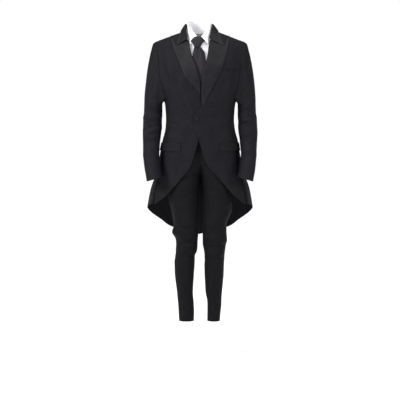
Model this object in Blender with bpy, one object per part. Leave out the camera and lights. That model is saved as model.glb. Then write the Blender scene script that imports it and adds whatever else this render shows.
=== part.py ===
"""A tail coat with peak lapels, slim trousers, a white shirt and a necktie, in their worn form.

Metres, +Z up, and the front faces -Y. The origin lies between the shoulders, at the base of the neck.
Left and right are the wearer's, so left is +X. Each piece of cloth is a wall of its own, with open
ends at the neck, cuffs, hems and waist, and nothing inside.
"""

import math
from bisect import bisect_right
from collections import namedtuple

import bmesh
import bpy
from mathutils import Vector

# Cloth thicknesses, the gap that is left where two pieces are sewn together, and the gap below a piece
# that lies on a curved panel
COAT_CLOTH = 0.0022
SATIN = 0.0016
TROUSER_CLOTH = 0.0020
SHIRT_CLOTH = 0.0014
SEAM_GAP = 0.0003
LYING_GAP = 0.0012

# Levels of the coat and the trousers, measured down from the base of the neck
ARMPIT_Z = -0.289
COAT_WAIST_Z = -0.430
FRONTS_PART_Z = -0.490
CROTCH_Z = -0.664
TROUSER_WAIST_Z = -0.385
TROUSER_HEM_Z = -1.337
CUFF_Z = -0.680

# The coat's lengthwise seams, as angles round the body from the centre front
FRONT_SEAM = math.radians(62)
BACK_SEAM = math.radians(118)
CENTRE_BACK = math.radians(180)

# How square the body's sections are, and how suddenly the shoulders round over
SECTION_POWER = 2.35
SHOULDER_POWER = 2.6

Section = namedtuple("Section", "z half_width front back middle_y")
COAT = (
    Section(-0.945, 0.264, 0.136, 0.172, 0.052),
    Section(-0.806, 0.248, 0.128, 0.154, 0.042),
    Section(-0.722, 0.233, 0.122, 0.141, 0.032),
    Section(-0.629, 0.202, 0.116, 0.127, 0.020),
    Section(-0.536, 0.184, 0.111, 0.114, 0.010),
    Section(-0.489, 0.175, 0.108, 0.105, 0.005),
    Section(-0.443, 0.162, 0.106, 0.098, 0.001),
    Section(-0.400, 0.158, 0.106, 0.096, 0.000),
    Section(-0.330, 0.163, 0.112, 0.106, 0.000),
    Section(-0.289, 0.176, 0.117, 0.115, 0.000),
    Section(-0.240, 0.197, 0.119, 0.119, 0.000),
    Section(-0.177, 0.213, 0.116, 0.119, 0.001),
    Section(-0.118, 0.223, 0.106, 0.112, 0.002),
    Section(-0.055, 0.232, 0.092, 0.098, 0.003),
    Section(0.000, 0.238, 0.076, 0.082, 0.004),
    Section(0.060, 0.240, 0.062, 0.068, 0.004),
)

# The armhole seam: how far out it lies at each height, up to the end of the shoulder
ArmholePoint = namedtuple("ArmholePoint", "z x")
ARMHOLE = (
    ArmholePoint(-0.289, 0.1583),
    ArmholePoint(-0.240, 0.174),
    ArmholePoint(-0.177, 0.187),
    ArmholePoint(-0.118, 0.192),
    ArmholePoint(-0.062, 0.199),
    ArmholePoint(-0.036, 0.209),
)

# The fold where each lapel turns back, which is the front edge lower down, out to the neck point.
# The wearer's left front lies over the right one.
FrontEdge = namedtuple("FrontEdge", "z left right")
FRONT_EDGE = (
    FrontEdge(-0.490, -0.003, 0.010),
    FrontEdge(-0.455, -0.014, -0.003),
    FrontEdge(-0.425, -0.024, -0.012),
    FrontEdge(-0.394, -0.028, -0.015),
    FrontEdge(-0.365, -0.021, -0.015),
    FrontEdge(-0.329, 0.010, -0.010),
    FrontEdge(-0.289, 0.0090, 0.000),
    FrontEdge(-0.220, 0.0150, 0.006),
    FrontEdge(-0.160, 0.0256, 0.0190),
    FrontEdge(-0.106, 0.0380, 0.0400),
    FrontEdge(-0.066, 0.0435, 0.0490),
    FrontEdge(-0.023, 0.0490, 0.0570),
    FrontEdge(0.0139, 0.0780, 0.0780),
)

# The lapels' outer edges, out from the middle, up to the level of the notch
LapelEdge = namedtuple("LapelEdge", "z left right")
LAPEL_EDGE = (
    LapelEdge(-0.329, 0.0190, -0.0300),
    LapelEdge(-0.286, 0.0380, -0.0010),
    LapelEdge(-0.250, 0.0570, 0.0260),
    LapelEdge(-0.203, 0.0830, 0.0652),
    LapelEdge(-0.144, 0.1060, 0.0920),
    LapelEdge(-0.090, 0.1210, 0.1140),
    LapelEdge(-0.050, 0.1290, 0.1260),
    LapelEdge(-0.003, 0.1355, 0.1345),
)
LAPEL_FOOT_Z = {"left": -0.3285, "right": -0.280}
PEAK_TIP = Vector((0.1350, 0, -0.0035))
NOTCH = Vector((0.1100, 0, -0.0610))
GORGE_FOLD = {"left": Vector((0.0475, 0, -0.0300)), "right": Vector((0.0550, 0, -0.0300))}

# The coat's collar from the centre back (0) to the gorge (1): its seam, its fold and its outer edge
COLLAR_COLUMNS = "at seam_x seam_y seam_z fold_x fold_y fold_z edge_x edge_y edge_z"
CollarStation = namedtuple("CollarStation", COLLAR_COLUMNS)
COLLAR = (
    CollarStation(0.00, 0.0000, 0.0740, 0.0090, 0.0000, 0.0745, 0.0480, 0.0000, 0.0850, 0.0020),
    CollarStation(0.25, 0.0510, 0.0580, 0.0140, 0.0480, 0.0555, 0.0490, 0.0590, 0.0740, 0.0060),
    CollarStation(0.50, 0.0730, 0.0060, 0.0200, 0.0640, 0.0080, 0.0460, 0.0830, 0.0130, 0.0175),
    CollarStation(0.70, 0.0680, -0.0250, 0.0090, 0.0610, -0.0280, 0.0270, 0.0890, -0.0160, 0.0050),
    CollarStation(0.85, 0.0580, -0.0450, -0.0080, 0.0550, -0.0510, 0.0000, 0.0985, -0.0420, -0.0270),
    CollarStation(1.00, 0.0500, -0.0600, -0.0230, 0.0475, -0.0700, -0.0265, 0.1105, -0.0620, -0.0590),
)

# The cut-away front: half the opening at each height, from where the fronts part to the front seam
CutAway = namedtuple("CutAway", "z half_opening")
CUT_AWAY = (
    CutAway(-0.785, 0.2110),
    CutAway(-0.745, 0.1560),
    CutAway(-0.706, 0.1210),
    CutAway(-0.660, 0.0810),
    CutAway(-0.610, 0.0410),
    CutAway(-0.560, 0.0200),
    CutAway(-0.522, 0.0105),
    CutAway(-0.490, 0.0035),
)
CUT_AWAY_CENTRE_X = -0.0065

# The hem from the front seam round to the centre back, where the tails are longest
HemPoint = namedtuple("HemPoint", "angle z")
HEM = (
    HemPoint(math.radians(62), -0.785),
    HemPoint(math.radians(90), -0.795),
    HemPoint(math.radians(104), -0.812),
    HemPoint(math.radians(122), -0.847),
    HemPoint(math.radians(138), -0.875),
    HemPoint(math.radians(152), -0.905),
    HemPoint(math.radians(180), -0.942),
)

# Soft flutes in the skirt, deepest at the hem
Flute = namedtuple("Flute", "angle half_angle depth")
FLUTES = (
    Flute(math.radians(80), math.radians(17), -0.005),
    Flute(math.radians(104), math.radians(15), 0.006),
    Flute(math.radians(129), math.radians(17), -0.008),
    Flute(math.radians(151), math.radians(14), 0.006),
    Flute(math.radians(172), math.radians(13), -0.005),
)

# The trousers, at each height. The edges are measured outwards from the middle, on the front view.
# Above the crotch the legs run into each other, and both are cut at the middle seam.
LEG_COLUMNS = "z left_outer left_inner right_inner right_outer front back middle_y"
LegSection = namedtuple("LegSection", LEG_COLUMNS)
LEGS = (
    LegSection(-1.337, 0.0940, 0.0345, 0.0285, 0.0985, 0.042, 0.045, 0.022),
    LegSection(-1.300, 0.0975, 0.0340, 0.0280, 0.1010, 0.042, 0.047, 0.020),
    LegSection(-1.255, 0.1013, 0.0345, 0.0292, 0.1032, 0.043, 0.050, 0.018),
    LegSection(-1.205, 0.1038, 0.0268, 0.0335, 0.1080, 0.045, 0.056, 0.015),
    LegSection(-1.160, 0.1075, 0.0236, 0.0306, 0.1134, 0.048, 0.061, 0.012),
    LegSection(-1.110, 0.1122, 0.0208, 0.0272, 0.1184, 0.050, 0.062, 0.010),
    LegSection(-1.067, 0.1133, 0.0206, 0.0248, 0.1194, 0.053, 0.060, 0.007),
    LegSection(-1.030, 0.1150, 0.0216, 0.0230, 0.1165, 0.057, 0.060, 0.004),
    LegSection(-1.005, 0.1182, 0.0185, 0.0130, 0.1130, 0.061, 0.062, 0.002),
    LegSection(-0.975, 0.1220, 0.0120, 0.0100, 0.1125, 0.060, 0.060, 0.000),
    LegSection(-0.945, 0.1268, 0.0110, 0.0085, 0.1150, 0.065, 0.063, 0.000),
    LegSection(-0.918, 0.1255, 0.0105, 0.0075, 0.1315, 0.068, 0.066, 0.001),
    LegSection(-0.888, 0.1235, 0.0110, 0.0075, 0.1230, 0.065, 0.066, 0.002),
    LegSection(-0.850, 0.1370, 0.0120, 0.0070, 0.1275, 0.069, 0.070, 0.004),
    LegSection(-0.806, 0.1515, 0.0130, 0.0065, 0.1370, 0.073, 0.076, 0.006),
    LegSection(-0.765, 0.1490, 0.0125, 0.0060, 0.1480, 0.078, 0.080, 0.008),
    LegSection(-0.735, 0.1480, 0.0110, 0.0050, 0.1535, 0.081, 0.084, 0.009),
    LegSection(-0.705, 0.1480, 0.0085, 0.0030, 0.1545, 0.085, 0.088, 0.010),
    LegSection(-0.680, 0.1490, 0.0050, -0.0005, 0.1550, 0.088, 0.092, 0.011),
    LegSection(-0.664, 0.1500, 0.0030, -0.0030, 0.1555, 0.090, 0.095, 0.012),
    LegSection(-0.654, 0.1505, 0.0004, -0.0056, 0.1555, 0.090, 0.097, 0.012),
    LegSection(-0.640, 0.1510, -0.0076, -0.0144, 0.1555, 0.091, 0.099, 0.012),
    LegSection(-0.620, 0.1520, -0.0224, -0.0302, 0.1560, 0.092, 0.101, 0.012),
    LegSection(-0.600, 0.1530, -0.0463, -0.0560, 0.1560, 0.092, 0.103, 0.011),
    LegSection(-0.570, 0.1545, -0.0867, -0.0971, 0.1560, 0.092, 0.103, 0.010),
    LegSection(-0.540, 0.1550, -0.1500, -0.1530, 0.1560, 0.091, 0.101, 0.009),
    LegSection(-0.510, 0.1545, -0.1545, -0.1545, 0.1545, 0.090, 0.098, 0.007),
    LegSection(-0.430, 0.1440, -0.1440, -0.1440, 0.1440, 0.087, 0.083, 0.003),
    LegSection(-0.385, 0.1400, -0.1400, -0.1400, 0.1400, 0.086, 0.081, 0.002),
)
CROTCH_X = 0.003
LEG_POWER = 2.15
WAISTBAND_DEPTH = 0.038

# Creases where the trousers bunch at the knees, and the drag lines below the crotch. Each is a soft
# ridge (or a trough, with a minus) that runs round part of a leg, at an angle from the leg's outer side.
Crease = namedtuple("Crease", "side z angle half_angle half_height tilt depth")
LEG_CREASES = (
    Crease("left", -0.893, 70, 95, 0.020, 0.010, 0.0055),
    Crease("left", -0.928, 120, 90, 0.018, -0.012, -0.0060),
    Crease("left", -0.955, 50, 100, 0.017, 0.014, 0.0050),
    Crease("left", -0.985, 110, 95, 0.018, -0.010, -0.0055),
    Crease("left", -1.014, 75, 90, 0.017, 0.012, 0.0050),
    Crease("left", -1.045, 130, 80, 0.020, -0.012, -0.0045),
    Crease("left", -0.920, -95, 90, 0.022, 0.012, 0.0050),
    Crease("left", -0.970, -80, 95, 0.024, -0.014, -0.0065),
    Crease("left", -1.018, -100, 90, 0.022, 0.010, 0.0050),
    Crease("right", -0.900, 85, 90, 0.020, -0.012, -0.0050),
    Crease("right", -0.932, 45, 90, 0.018, 0.012, 0.0055),
    Crease("right", -0.960, 110, 95, 0.018, -0.010, -0.0060),
    Crease("right", -0.992, 75, 95, 0.018, 0.014, 0.0055),
    Crease("right", -1.022, 125, 80, 0.018, -0.012, -0.0055),
    Crease("right", -1.052, 60, 90, 0.020, 0.008, 0.0040),
    Crease("right", -0.930, -85, 90, 0.022, -0.012, 0.0050),
    Crease("right", -0.980, -95, 95, 0.024, 0.012, -0.0065),
    Crease("right", -1.030, -80, 90, 0.022, -0.010, 0.0050),
)

# Creases at the elbows. Angles run round the arm from its outer side, forwards, to the body's side.
SLEEVE_CREASES = (
    Crease("left", -0.362, 105, 95, 0.018, 0.012, -0.0045),
    Crease("left", -0.392, 60, 80, 0.016, -0.014, 0.0040),
    Crease("left", -0.415, 120, 90, 0.016, 0.012, -0.0050),
    Crease("left", -0.447, 75, 85, 0.017, 0.014, 0.0040),
    Crease("left", -0.478, 115, 85, 0.016, -0.012, -0.0045),
    Crease("left", -0.560, 130, 80, 0.018, 0.014, -0.0035),
    Crease("right", -0.355, 95, 90, 0.017, -0.012, -0.0040),
    Crease("right", -0.382, 120, 90, 0.016, 0.010, 0.0040),
    Crease("right", -0.408, 75, 90, 0.017, -0.014, -0.0050),
    Crease("right", -0.440, 110, 95, 0.017, 0.012, 0.0045),
    Crease("right", -0.470, 85, 85, 0.016, 0.012, -0.0045),
    Crease("right", -0.575, 100, 80, 0.018, -0.012, -0.0035),
)

# One row for each ring of a sleeve below the arm, measured out from the centre line
SleeveRing = namedtuple("SleeveRing", "z centre_x half_width centre_y half_depth")
SLEEVE = (
    SleeveRing(-0.668, 0.2095, 0.0370, -0.087, 0.047),
    SleeveRing(-0.630, 0.2160, 0.0370, -0.072, 0.049),
    SleeveRing(-0.590, 0.2215, 0.0370, -0.055, 0.051),
    SleeveRing(-0.550, 0.2255, 0.0370, -0.038, 0.053),
    SleeveRing(-0.510, 0.2250, 0.0390, -0.022, 0.054),
    SleeveRing(-0.470, 0.2240, 0.0425, -0.008, 0.056),
    SleeveRing(-0.430, 0.2218, 0.0447, 0.001, 0.057),
    SleeveRing(-0.395, 0.2212, 0.0443, 0.003, 0.058),
    SleeveRing(-0.365, 0.2184, 0.0431, 0.003, 0.058),
    SleeveRing(-0.335, 0.2170, 0.0425, 0.001, 0.060),
)
SLEEVE_AROUND = 18
# Where the body's seams meet the armhole, and the sleeve's own two seams, counted in columns from the
# shoulder point forwards
ARMHOLE_FRONT_COLUMN = 7
ARMHOLE_BACK_COLUMN = 11
SLEEVE_FRONT_SEAM = 6
SLEEVE_BACK_SEAM = 12
SLEEVE_TOP_Z = -0.335
# The cuff is lowest on the outer side, and this much higher on the body's side
CUFF_RISE = 0.021

# The shirt's body, inside the coat and tucked inside the waistband
SHIRT = (
    Section(-0.440, 0.1322, 0.0792, 0.0742, 0.002),
    Section(-0.385, 0.1322, 0.0792, 0.0742, 0.002),
    Section(-0.340, 0.1480, 0.0930, 0.0890, 0.001),
    Section(-0.289, 0.1620, 0.1020, 0.1030, 0.000),
    Section(-0.240, 0.1840, 0.1040, 0.1080, 0.000),
    Section(-0.177, 0.2010, 0.1010, 0.1090, 0.001),
    Section(-0.118, 0.2120, 0.0910, 0.1030, 0.002),
    Section(-0.055, 0.2230, 0.0780, 0.0890, 0.003),
    Section(0.000, 0.2310, 0.0640, 0.0740, 0.004),
    Section(0.060, 0.2330, 0.0510, 0.0600, 0.004),
)
SHIRT_TAIL_Z = -0.440
SHIRT_DROP = 0.0085
SHIRT_LAP = 0.015
SHIRT_LAP_LIFT = 0.0026

# The shirt's collar leaf from the centre back (0) to its point (1)
LeafStation = namedtuple("LeafStation", "at fold_x fold_y fold_z edge_x edge_y edge_z")
SHIRT_COLLAR = (
    LeafStation(0.00, 0.0000, 0.0600, 0.0640, 0.0000, 0.0645, 0.0290),
    LeafStation(0.25, 0.0380, 0.0430, 0.0630, 0.0410, 0.0460, 0.0300),
    LeafStation(0.50, 0.0530, 0.0060, 0.0560, 0.0560, 0.0060, 0.0280),
    LeafStation(0.70, 0.0450, -0.0290, 0.0320, 0.0530, -0.0350, 0.0000),
    LeafStation(0.85, 0.0285, -0.0490, 0.0050, 0.0430, -0.0585, -0.0290),
    LeafStation(1.00, 0.0105, -0.0595, -0.0150, 0.0400, -0.0740, -0.0490),
)
# The neck sits a little to the wearer's right of the middle: the collars lean by this much
SHIRT_LEAN = 0.0050
NECK_LEAN = 0.0035
# The stand below the leaf: how far it lies inside the fold, and the neck seam that it rises from
STAND_INSET = 0.0018
STAND_FOOT_FRONT_Z = -0.0230
STAND_FOOT_BACK_Z = 0.0110

# The tie: half its width at each height, from the knot's mouth to its point
TieWidth = namedtuple("TieWidth", "z half_width centre")
TIE = (
    TieWidth(-0.420, 0.0020, -0.0020),
    TieWidth(-0.385, 0.0350, -0.0020),
    TieWidth(-0.330, 0.0385, -0.0020),
    TieWidth(-0.220, 0.0350, -0.0030),
    TieWidth(-0.120, 0.0310, -0.0050),
    TieWidth(-0.0925, 0.0275, -0.0050),
    TieWidth(-0.0762, 0.0208, -0.0084),
    TieWidth(-0.0644, 0.0142, -0.0118),
    TieWidth(-0.0540, 0.0125, -0.0118),
)
TIE_CLOTH = 0.0020
# The knot, from its top (0) to its foot (1)
KNOT_TOP_Z = -0.0200
KNOT_FOOT_Z = -0.0655
KnotWidth = namedtuple("KnotWidth", "down half_width centre")
KNOT = (
    KnotWidth(0.00, 0.0190, -0.0094),
    KnotWidth(0.12, 0.0245, -0.0098),
    KnotWidth(0.40, 0.0335, -0.0108),
    KnotWidth(0.55, 0.0262, -0.0112),
    KnotWidth(0.80, 0.0180, -0.0118),
    KnotWidth(1.00, 0.0150, -0.0122),
)

BUTTON_CENTRE = (-0.0163, -0.394)
BUTTON_RADIUS = 0.0090
BUTTON_HEIGHT = 0.0030

# The hip flaps, from their front ends round to the back, and the breast welt
FLAP_FRONT_X = 0.086
FLAP_BACK_ANGLE = math.radians(84)
FLAP_TOP_Z = -0.5050
FLAP_FOOT_Z = -0.5420
WELT_X = (0.119, 0.180)
WELT_FOOT_Z = (-0.1715, -0.1640)
WELT_HEIGHT = 0.0300


def smooth_curve(keys, values, at):
    """A smooth curve through rising keys, which never swings past its points and runs straight past both ends."""
    count = len(keys)
    slopes = [(values[i + 1] - values[i]) / (keys[i + 1] - keys[i]) for i in range(count - 1)]
    tangents = [slopes[0]]
    for before, after in zip(slopes, slopes[1:]):
        level = before * after <= 0
        tangents.append(0.0 if level else 2 * before * after / (before + after))
    tangents.append(slopes[-1])
    if at <= keys[0]:
        return values[0] + tangents[0] * (at - keys[0])
    if at >= keys[-1]:
        return values[-1] + tangents[-1] * (at - keys[-1])
    i = bisect_right(keys, at) - 1
    span = keys[i + 1] - keys[i]
    t = (at - keys[i]) / span
    start = (1 + 2 * t) * (1 - t) ** 2 * values[i] + t * (1 - t) ** 2 * span * tangents[i]
    end = t * t * (3 - 2 * t) * values[i + 1] - t * t * (1 - t) * span * tangents[i + 1]
    return start + end


def read(table, column, at):
    """The value of one named column of a table, at a point along the table's first column."""
    return smooth_curve([row[0] for row in table], [getattr(row, column) for row in table], at)


def mix(start, end, share):
    return start + (end - start) * share


def ease(start, end, at):
    """0 before start, 1 after end, and smooth between them. The end may lie below the start."""
    share = min(1.0, max(0.0, (at - start) / (end - start)))
    return share * share * (3 - 2 * share)


def bump(centre, half_width, at):
    """A soft hump, 1 at its centre and 0 a half width away."""
    share = min(1.0, abs(at - centre) / half_width)
    return (1 - share * share) ** 2


# The body of the coat


def shoulder_z(x):
    """The height of the shoulder's ridge, which climbs beside the neck."""
    return 0.005 - 0.375 * (x - 0.1) + 13.6 * max(0.0, 0.085 - x) ** 2


def power(value, exponent):
    return math.copysign(abs(value) ** exponent, value)


def rounding(share, exponent):
    """The other side of a superellipse: 1 at the middle, and 0 at its end."""
    return max(0.0, 1 - min(1.0, abs(share)) ** exponent) ** (1 / exponent)


def flute(angle, z):
    """How far the skirt's flutes stand out at a place."""
    reach = ease(COAT_WAIST_Z - 0.08, CUT_AWAY[0].z, z)
    return reach * sum(row.depth * bump(row.angle, row.half_angle, angle) for row in FLUTES)


def body_point(angle, height, table=COAT, drop=0.0):
    """A point of the coat's or shirt's body on the left side.

    The angle runs from the centre front to the centre back. A height up to 0 is in metres below the
    armpit, and one above 0 is a share of the way from the armpit to the ridge of the shoulder.
    """
    across = power(math.sin(angle), 2 / SECTION_POWER)
    along = power(math.cos(angle), 2 / SECTION_POWER)
    z = ARMPIT_Z + min(height, 0.0)
    x = read(table, "half_width", z) * across
    closing = 1.0
    if height > 0:
        for _ in range(12):
            z = ARMPIT_Z + height * (shoulder_z(abs(x)) - drop - ARMPIT_Z)
            x = read(table, "half_width", z) * across
        closing = rounding(height, SHOULDER_POWER)
    depth = read(table, "front" if along > 0 else "back", z)
    point = Vector((x, read(table, "middle_y", z) - depth * along * closing, z))
    out = flute(abs(angle), z) if table is COAT else 0.0
    return point + Vector((out * across, -out * along, 0))


def body_y(x, z, table=COAT, back=False, drop=0.0):
    """Where the body's front or back surface lies, at a place seen from the front."""
    wide = min(1.0, abs(x) / read(table, "half_width", z))
    closing = 1.0
    if z > ARMPIT_Z:
        share = min(1.0, (z - ARMPIT_Z) / (shoulder_z(abs(x)) - drop - ARMPIT_Z))
        closing = rounding(share, SHOULDER_POWER)
    depth = read(table, "back" if back else "front", z) * closing
    depth *= rounding(wide, SECTION_POWER)
    return read(table, "middle_y", z) + (depth if back else -depth)


def on_front(x, z, lift, table=COAT, drop=0.0, back=False):
    """A point that far above the front (or back) of the body. It may stand above the ridge."""
    low = min(z, shoulder_z(abs(x)) - drop - 0.006)
    step = 1e-3
    y = body_y(x, low, table, back, drop)
    slope_x = (body_y(x + step, low, table, back, drop) - y) / step
    slope_z = (y - body_y(x, low - step, table, back, drop)) / step
    lean = min(2.5, math.sqrt(1 + slope_x**2 + slope_z**2))
    return Vector((x, y + lift * lean * (1 if back else -1), z))


def angle_at(x, z, table=COAT):
    """The angle round the body of a place on its front."""
    share = min(1.0, abs(x) / read(table, "half_width", z))
    return math.copysign(math.asin(share ** (SECTION_POWER / 2)), x)


def height_at(x, z, drop=0.0):
    if z <= ARMPIT_Z:
        return z - ARMPIT_Z
    return min(1.0, (z - ARMPIT_Z) / (shoulder_z(abs(x)) - drop - ARMPIT_Z))


# Rows of the coat's pieces. The skirt counts from -1 at the hem to 0 at the waist, the waist from 0 to 1
# at the armpit, and the shoulders from 1 to 2 at the shoulder seam.
SKIRT_ROWS = 9
WAIST_ROWS = 4
SHOULDER_ROWS = 7


def coat_rows():
    skirt = [-1 + i / SKIRT_ROWS for i in range(SKIRT_ROWS)]
    waist = [i / WAIST_ROWS for i in range(WAIST_ROWS)]
    shoulders = [1 + i / SHOULDER_ROWS for i in range(SHOULDER_ROWS + 1)]
    return skirt + waist + shoulders


def shoulder_share(row):
    """Rows of the shoulders come closer together where the cloth rounds over."""
    return math.sin(min(row - 1, 1.0) * math.pi / 2) if row > 1 else 0.0


def seam_row(row, angle):
    """The height along a lengthwise seam of the coat at one of its rows."""
    if row <= 0:
        return mix(COAT_WAIST_Z, read(HEM, "z", angle), -row) - ARMPIT_Z
    return mix(COAT_WAIST_Z, ARMPIT_Z, min(row, 1.0)) - ARMPIT_Z


def armhole_place(share_up):
    """The angle and height of the armhole seam, as a share of its way up."""
    z = mix(ARMPIT_Z, ARMHOLE[-1].z, share_up)
    x = read(ARMHOLE, "x", z)
    return angle_at(x, z), height_at(x, z) if share_up < 1 else 1.0


def front_edge_place(side, share_up):
    """The angle and height of the lapel's fold, from the armpit's level up to the neck point."""
    z = mix(ARMPIT_Z, FRONT_EDGE[-1].z, share_up)
    x = read(FRONT_EDGE, side, z)
    return angle_at(x, z), height_at(x, z) if share_up < 1 else 1.0


def cut_away_place(side, column):
    """The angle and height of the cut-away edge, from where the fronts part round to the front seam."""
    z = mix(FRONTS_PART_Z, CUT_AWAY[0].z, power(column, 0.8))
    centre = CUT_AWAY_CENTRE_X * (1 - ease(-0.56, -0.66, z))
    x = read(CUT_AWAY, "half_opening", z) + (centre if side == "left" else -centre)
    return angle_at(x, z), z - ARMPIT_Z


def front_place(side, column, row):
    """The angle and height of a point of a coat front. Column 0 is its free edge, and column 1 its seam."""
    if row <= 0:
        waist_edge = angle_at(read(FRONT_EDGE, side, COAT_WAIST_Z), COAT_WAIST_Z)
        top = mix(waist_edge, FRONT_SEAM, column)
        angle, low = cut_away_place(side, column)
        return mix(top, angle, -row), mix(COAT_WAIST_Z - ARMPIT_Z, low, -row)
    if row <= 1:
        z = mix(COAT_WAIST_Z, ARMPIT_Z, row)
        return mix(angle_at(read(FRONT_EDGE, side, z), z), FRONT_SEAM, column), z - ARMPIT_Z
    share = shoulder_share(row)
    inner_angle, inner_height = front_edge_place(side, share)
    outer_angle, outer_height = armhole_place(share)
    bend = FRONT_SEAM - armhole_place(0)[0]
    outer_angle += bend * (1 - min(1.0, 6 * share)) ** 2
    return mix(inner_angle, outer_angle, column), mix(inner_height, outer_height, column)


# The left front is lifted over the right one where they overlap
OVERLAP_LIFT = 0.0040


def overlap(x, z):
    return OVERLAP_LIFT * (1 - ease(0.02, 0.085, x)) * (1 - ease(-0.30, -0.18, z))


def coat_front(side):
    """The surface of one front, with a column from its free edge to its seam and armhole, and a row."""
    mirror = 1 if side == "left" else -1

    def surface(column, row):
        angle, height = front_place(side, column, row)
        point = body_point(angle, height)
        if side == "left":
            point.y -= overlap(point.x, point.z)
        if row >= 2:
            point.y -= SEAM_GAP / 2
        return Vector((mirror * point.x, point.y, point.z))

    return surface


def coat_side(side):
    mirror = 1 if side == "left" else -1

    def surface(column, row):
        angle = mix(FRONT_SEAM, BACK_SEAM, column)
        point = body_point(angle, seam_row(row, angle))
        return Vector((mirror * point.x, point.y, point.z))

    return surface


# Half the width of the neck's edge, its depth at the centre, and the share of a panel's top that it takes
Neckline = namedtuple("Neckline", "half_width centre_z top_share")
COAT_NECK = Neckline(0.078, -0.002, 0.42)
SHIRT_NECK = Neckline(0.070, -0.030, 0.40)
SHIRT_BACK_NECK = Neckline(0.070, 0.000, 0.40)


def yoke_place(column, share, start, armhole, neck, table=COAT, drop=0.0):
    """The angle and height above the armpit on a panel that ends in a shoulder seam and a neckline.

    Column 0 is the armhole and column 1 the centre. Angles are from the centre.
    """
    turn = 1 - neck.top_share
    if column <= turn:
        x = mix(ARMHOLE[-1].x, neck.half_width, column / turn)
        top_angle = angle_at(x, shoulder_z(x) - drop, table)
        top_height = 1.0
    else:
        x = neck.half_width * (1 - column) / neck.top_share
        fall = rounding(x / neck.half_width, 2.4)
        z = mix(shoulder_z(neck.half_width) - drop, neck.centre_z, fall)
        top_angle = angle_at(x, z, table)
        top_height = height_at(x, z, drop)
    angle = mix(start * (1 - column), top_angle, share)
    height = top_height * share
    edge_angle, edge_height = armhole(share)
    corner = mix(start, angle_at(ARMHOLE[-1].x, ARMHOLE[-1].z, table), share)
    angle += (edge_angle - corner) * (1 - column)
    height += (edge_height - share) * (1 - column)
    return angle, height


def coat_back(side):
    """The surface of one back. Column 0 is its seam and armhole, and column 1 the centre back."""
    mirror = 1 if side == "left" else -1
    start = math.pi - BACK_SEAM

    def armhole(share):
        angle, height = armhole_place(share)
        return angle + (start - armhole_place(0)[0]) * (1 - min(1.0, 6 * share)) ** 2, height

    def surface(column, row):
        if row <= 1:
            angle = mix(BACK_SEAM, CENTRE_BACK, column)
            height = seam_row(row, angle)
        else:
            share = shoulder_share(row)
            angle, height = yoke_place(column, share, start, armhole, COAT_NECK)
            angle = math.pi - angle
        point = body_point(angle, height)
        point.x += SEAM_GAP / 2
        if row >= 2 and height >= 1:
            point.y += SEAM_GAP / 2
        return Vector((mirror * point.x, point.y, point.z))

    return surface


# The sleeves


def armhole_loop(column):
    """The angle and height of the armhole seam, for a column counted round the sleeve."""
    column %= SLEEVE_AROUND
    if column <= ARMHOLE_FRONT_COLUMN:
        share = math.sin((1 - column / ARMHOLE_FRONT_COLUMN) * math.pi / 2)
        angle, height = armhole_place(share)
        return angle + (FRONT_SEAM - armhole_place(0)[0]) * (1 - min(1.0, 6 * share)) ** 2, height
    if column < ARMHOLE_BACK_COLUMN:
        across = (column - ARMHOLE_FRONT_COLUMN) / (ARMHOLE_BACK_COLUMN - ARMHOLE_FRONT_COLUMN)
        return mix(FRONT_SEAM, BACK_SEAM, across), 0.0
    share = (column - ARMHOLE_BACK_COLUMN) / (SLEEVE_AROUND - ARMHOLE_BACK_COLUMN)
    share = math.sin(share * math.pi / 2)
    angle, height = armhole_place(share)
    angle += (FRONT_SEAM - armhole_place(0)[0]) * (1 - min(1.0, 6 * share)) ** 2
    return math.pi - angle, height


def crease(creases, side, z, angle):
    """How far the creases of one side stand out at a height and an angle in degrees."""
    out = 0.0
    for row in creases:
        if row.side == side:
            away = (angle - row.angle + 180) % 360 - 180
            level = z - row.z - row.tilt * away / row.half_angle
            out += row.depth * bump(0, row.half_angle, away) * bump(0, row.half_height, level)
    return out


def sleeve_ring(side, column, z):
    """A point of the sleeve below the arm."""
    turn = 2 * math.pi * column / SLEEVE_AROUND
    out = crease(SLEEVE_CREASES, side, z, math.degrees(turn))
    across = read(SLEEVE, "half_width", z) + out
    deep = read(SLEEVE, "half_depth", z) + out
    x = read(SLEEVE, "centre_x", z) + across * power(math.cos(turn), 0.92)
    return Vector((x, read(SLEEVE, "centre_y", z) - deep * power(math.sin(turn), 0.92), z))


# The sleeve starts this far outside the armhole's edge
ARMHOLE_GAP = 0.0007


def sleeve(side):
    """The surface of a sleeve. Rows run from 0 at the armhole to 1 below the arm and 2 at the cuff."""
    mirror = 1 if side == "left" else -1

    def surface(column, row):
        turn = 2 * math.pi * column / SLEEVE_AROUND
        up = (1 + math.cos(turn)) / 2
        if row <= 1:
            start = body_point(*armhole_loop(column)) + Vector((ARMHOLE_GAP, 0, 0))
            end = sleeve_ring(side, column, SLEEVE_TOP_Z)
            length = (end - start).length
            leave = Vector((0.1 + 0.11 * up, -0.12 * math.sin(turn), -0.1 - 0.8 * (1 - up))) * length
            arrive = Vector((0, 0, -0.85)) * length
            t = row
            point = start * (1 + 2 * t) * (1 - t) ** 2 + leave * t * (1 - t) ** 2
            point += end * t * t * (3 - 2 * t) - arrive * t * t * (1 - t)
        else:
            z = mix(SLEEVE_TOP_Z, CUFF_Z + CUFF_RISE * (1 - up), row - 1)
            point = sleeve_ring(side, column, z)
        return Vector((mirror * point.x, point.y, point.z))

    return surface


# The collar and lapels


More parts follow.
